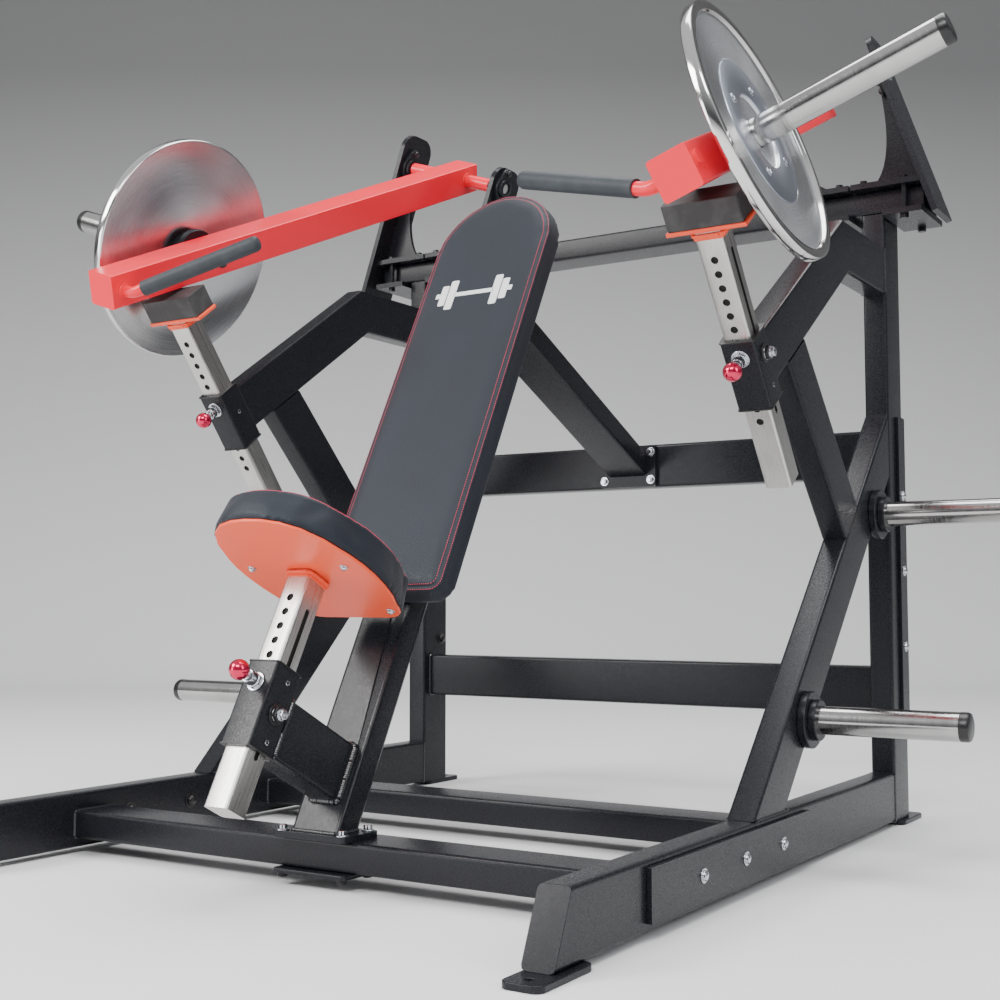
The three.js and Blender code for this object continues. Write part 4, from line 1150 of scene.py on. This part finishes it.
def sweep_stage():
    """A pale floor that turns up into a backdrop whose colour darkens towards its top: painted shade."""
    bm = bmesh.new()
    front, bend, radius, top, half_width = -9.0, 4.6, 1.6, 9.0, 40.0
    profile = [(front, 0.0), (bend, 0.0)]
    for i in range(1, 17):
        a = math.pi / 2 * i / 16
        profile.append((bend + radius * math.sin(a), radius * (1 - math.cos(a))))
    profile.append((bend + radius, top))
    rows = [[bm.verts.new((x, y, z)) for y, z in profile] for x in (-half_width, half_width)]
    for i in range(len(profile) - 1):
        bm.faces.new((rows[0][i], rows[1][i], rows[1][i + 1], rows[0][i + 1]))
    mesh = bpy.data.meshes.new("studio_sweep")
    bm.to_mesh(mesh)
    bm.free()
    smooth(mesh)
    p = Paint("studio_paint", (0.8, 0.8, 0.8), 0.85)
    split = p.node("ShaderNodeSeparateXYZ")
    p.link(p.coords, split.inputs["Vector"])
    # Pale at the floor to dark grey high on the backdrop: painted shade for light falling off with height.
    p.tint(p.ramp(split.outputs["Z"], 0.1, 3.9, 0, 1), (0.86, 0.86, 0.86), (0.23, 0.23, 0.23))
    p.bump(p.noise(40, 4), 0.02, 0.002)
    mesh.materials.append(p.material)
    piece = placed("studio_sweep", mesh)
    piece.matrix_world = Matrix.Rotation(CAMERA_TURN, 4, "Z")


def area_light(name, place, target, size, power, tint=(1, 1, 1)):
    """A soft rectangular lamp at a place, aimed at a target, in metres and watts."""
    light = bpy.data.lights.new(name, "AREA")
    light.shape = "RECTANGLE"
    light.size, light.size_y = size
    light.energy = power
    light.color = tint
    lamp = placed(name, light)
    lamp.location = place
    lamp.rotation_euler = (Vector(target) - Vector(place)).to_track_quat("-Z", "Y").to_euler()


def world_light():
    """Studio surround: bright overhead, dim from the horizon down, so that metal has contrast."""
    world = bpy.data.worlds.new("studio")
    bpy.context.scene.world = world
    world.use_nodes = True
    tree = world.node_tree
    background = tree.nodes["Background"]
    background.inputs["Strength"].default_value = 0.5
    coords = tree.nodes.new("ShaderNodeTexCoord")
    split = tree.nodes.new("ShaderNodeSeparateXYZ")
    ramp = tree.nodes.new("ShaderNodeValToRGB")
    tree.links.new(coords.outputs["Generated"], split.inputs["Vector"])
    tree.links.new(split.outputs["Z"], ramp.inputs["Fac"])
    tree.links.new(ramp.outputs["Color"], background.inputs["Color"])
    stops = ramp.color_ramp.elements
    stops[0].position, stops[0].color = 0.0, (0.16, 0.165, 0.175, 1)
    stops[1].position, stops[1].color = 0.75, (1.5, 1.52, 1.56, 1)


def add_camera():
    """The camera at the viewing angle."""
    data = bpy.data.cameras.new("camera")
    data.lens = CAMERA_LENS
    data.sensor_width = 36
    camera = placed("camera", data)
    camera.location = (Vector(CAMERA_PLACE) + SHIFT) * MM
    camera.rotation_euler = (math.pi / 2 + CAMERA_PITCH, 0, CAMERA_TURN)
    bpy.context.scene.camera = camera


sweep_stage()
world_light()
area_light("key_light", (-2.8, -3.6, 3.4), MIDDLE, (2.2, 1.8), 200, (1, 0.99, 0.97))
area_light("front_light", (-3.2, -4.6, 1.0), MIDDLE, (1.8, 1.8), 60, (0.97, 0.98, 1))
area_light("side_light", (4.4, -1.2, 2.4), MIDDLE, (1.2, 2.6), 60, (0.95, 0.97, 1))
area_light("top_light", (0.4, 0.6, 4.6), (0, 0, 0.6), (3.2, 2.6), 170)
area_light("floor_light", (1.4, -4.2, 3.8), (0.6, -1.8, 0), (2.4, 1.6), 150)
add_camera()
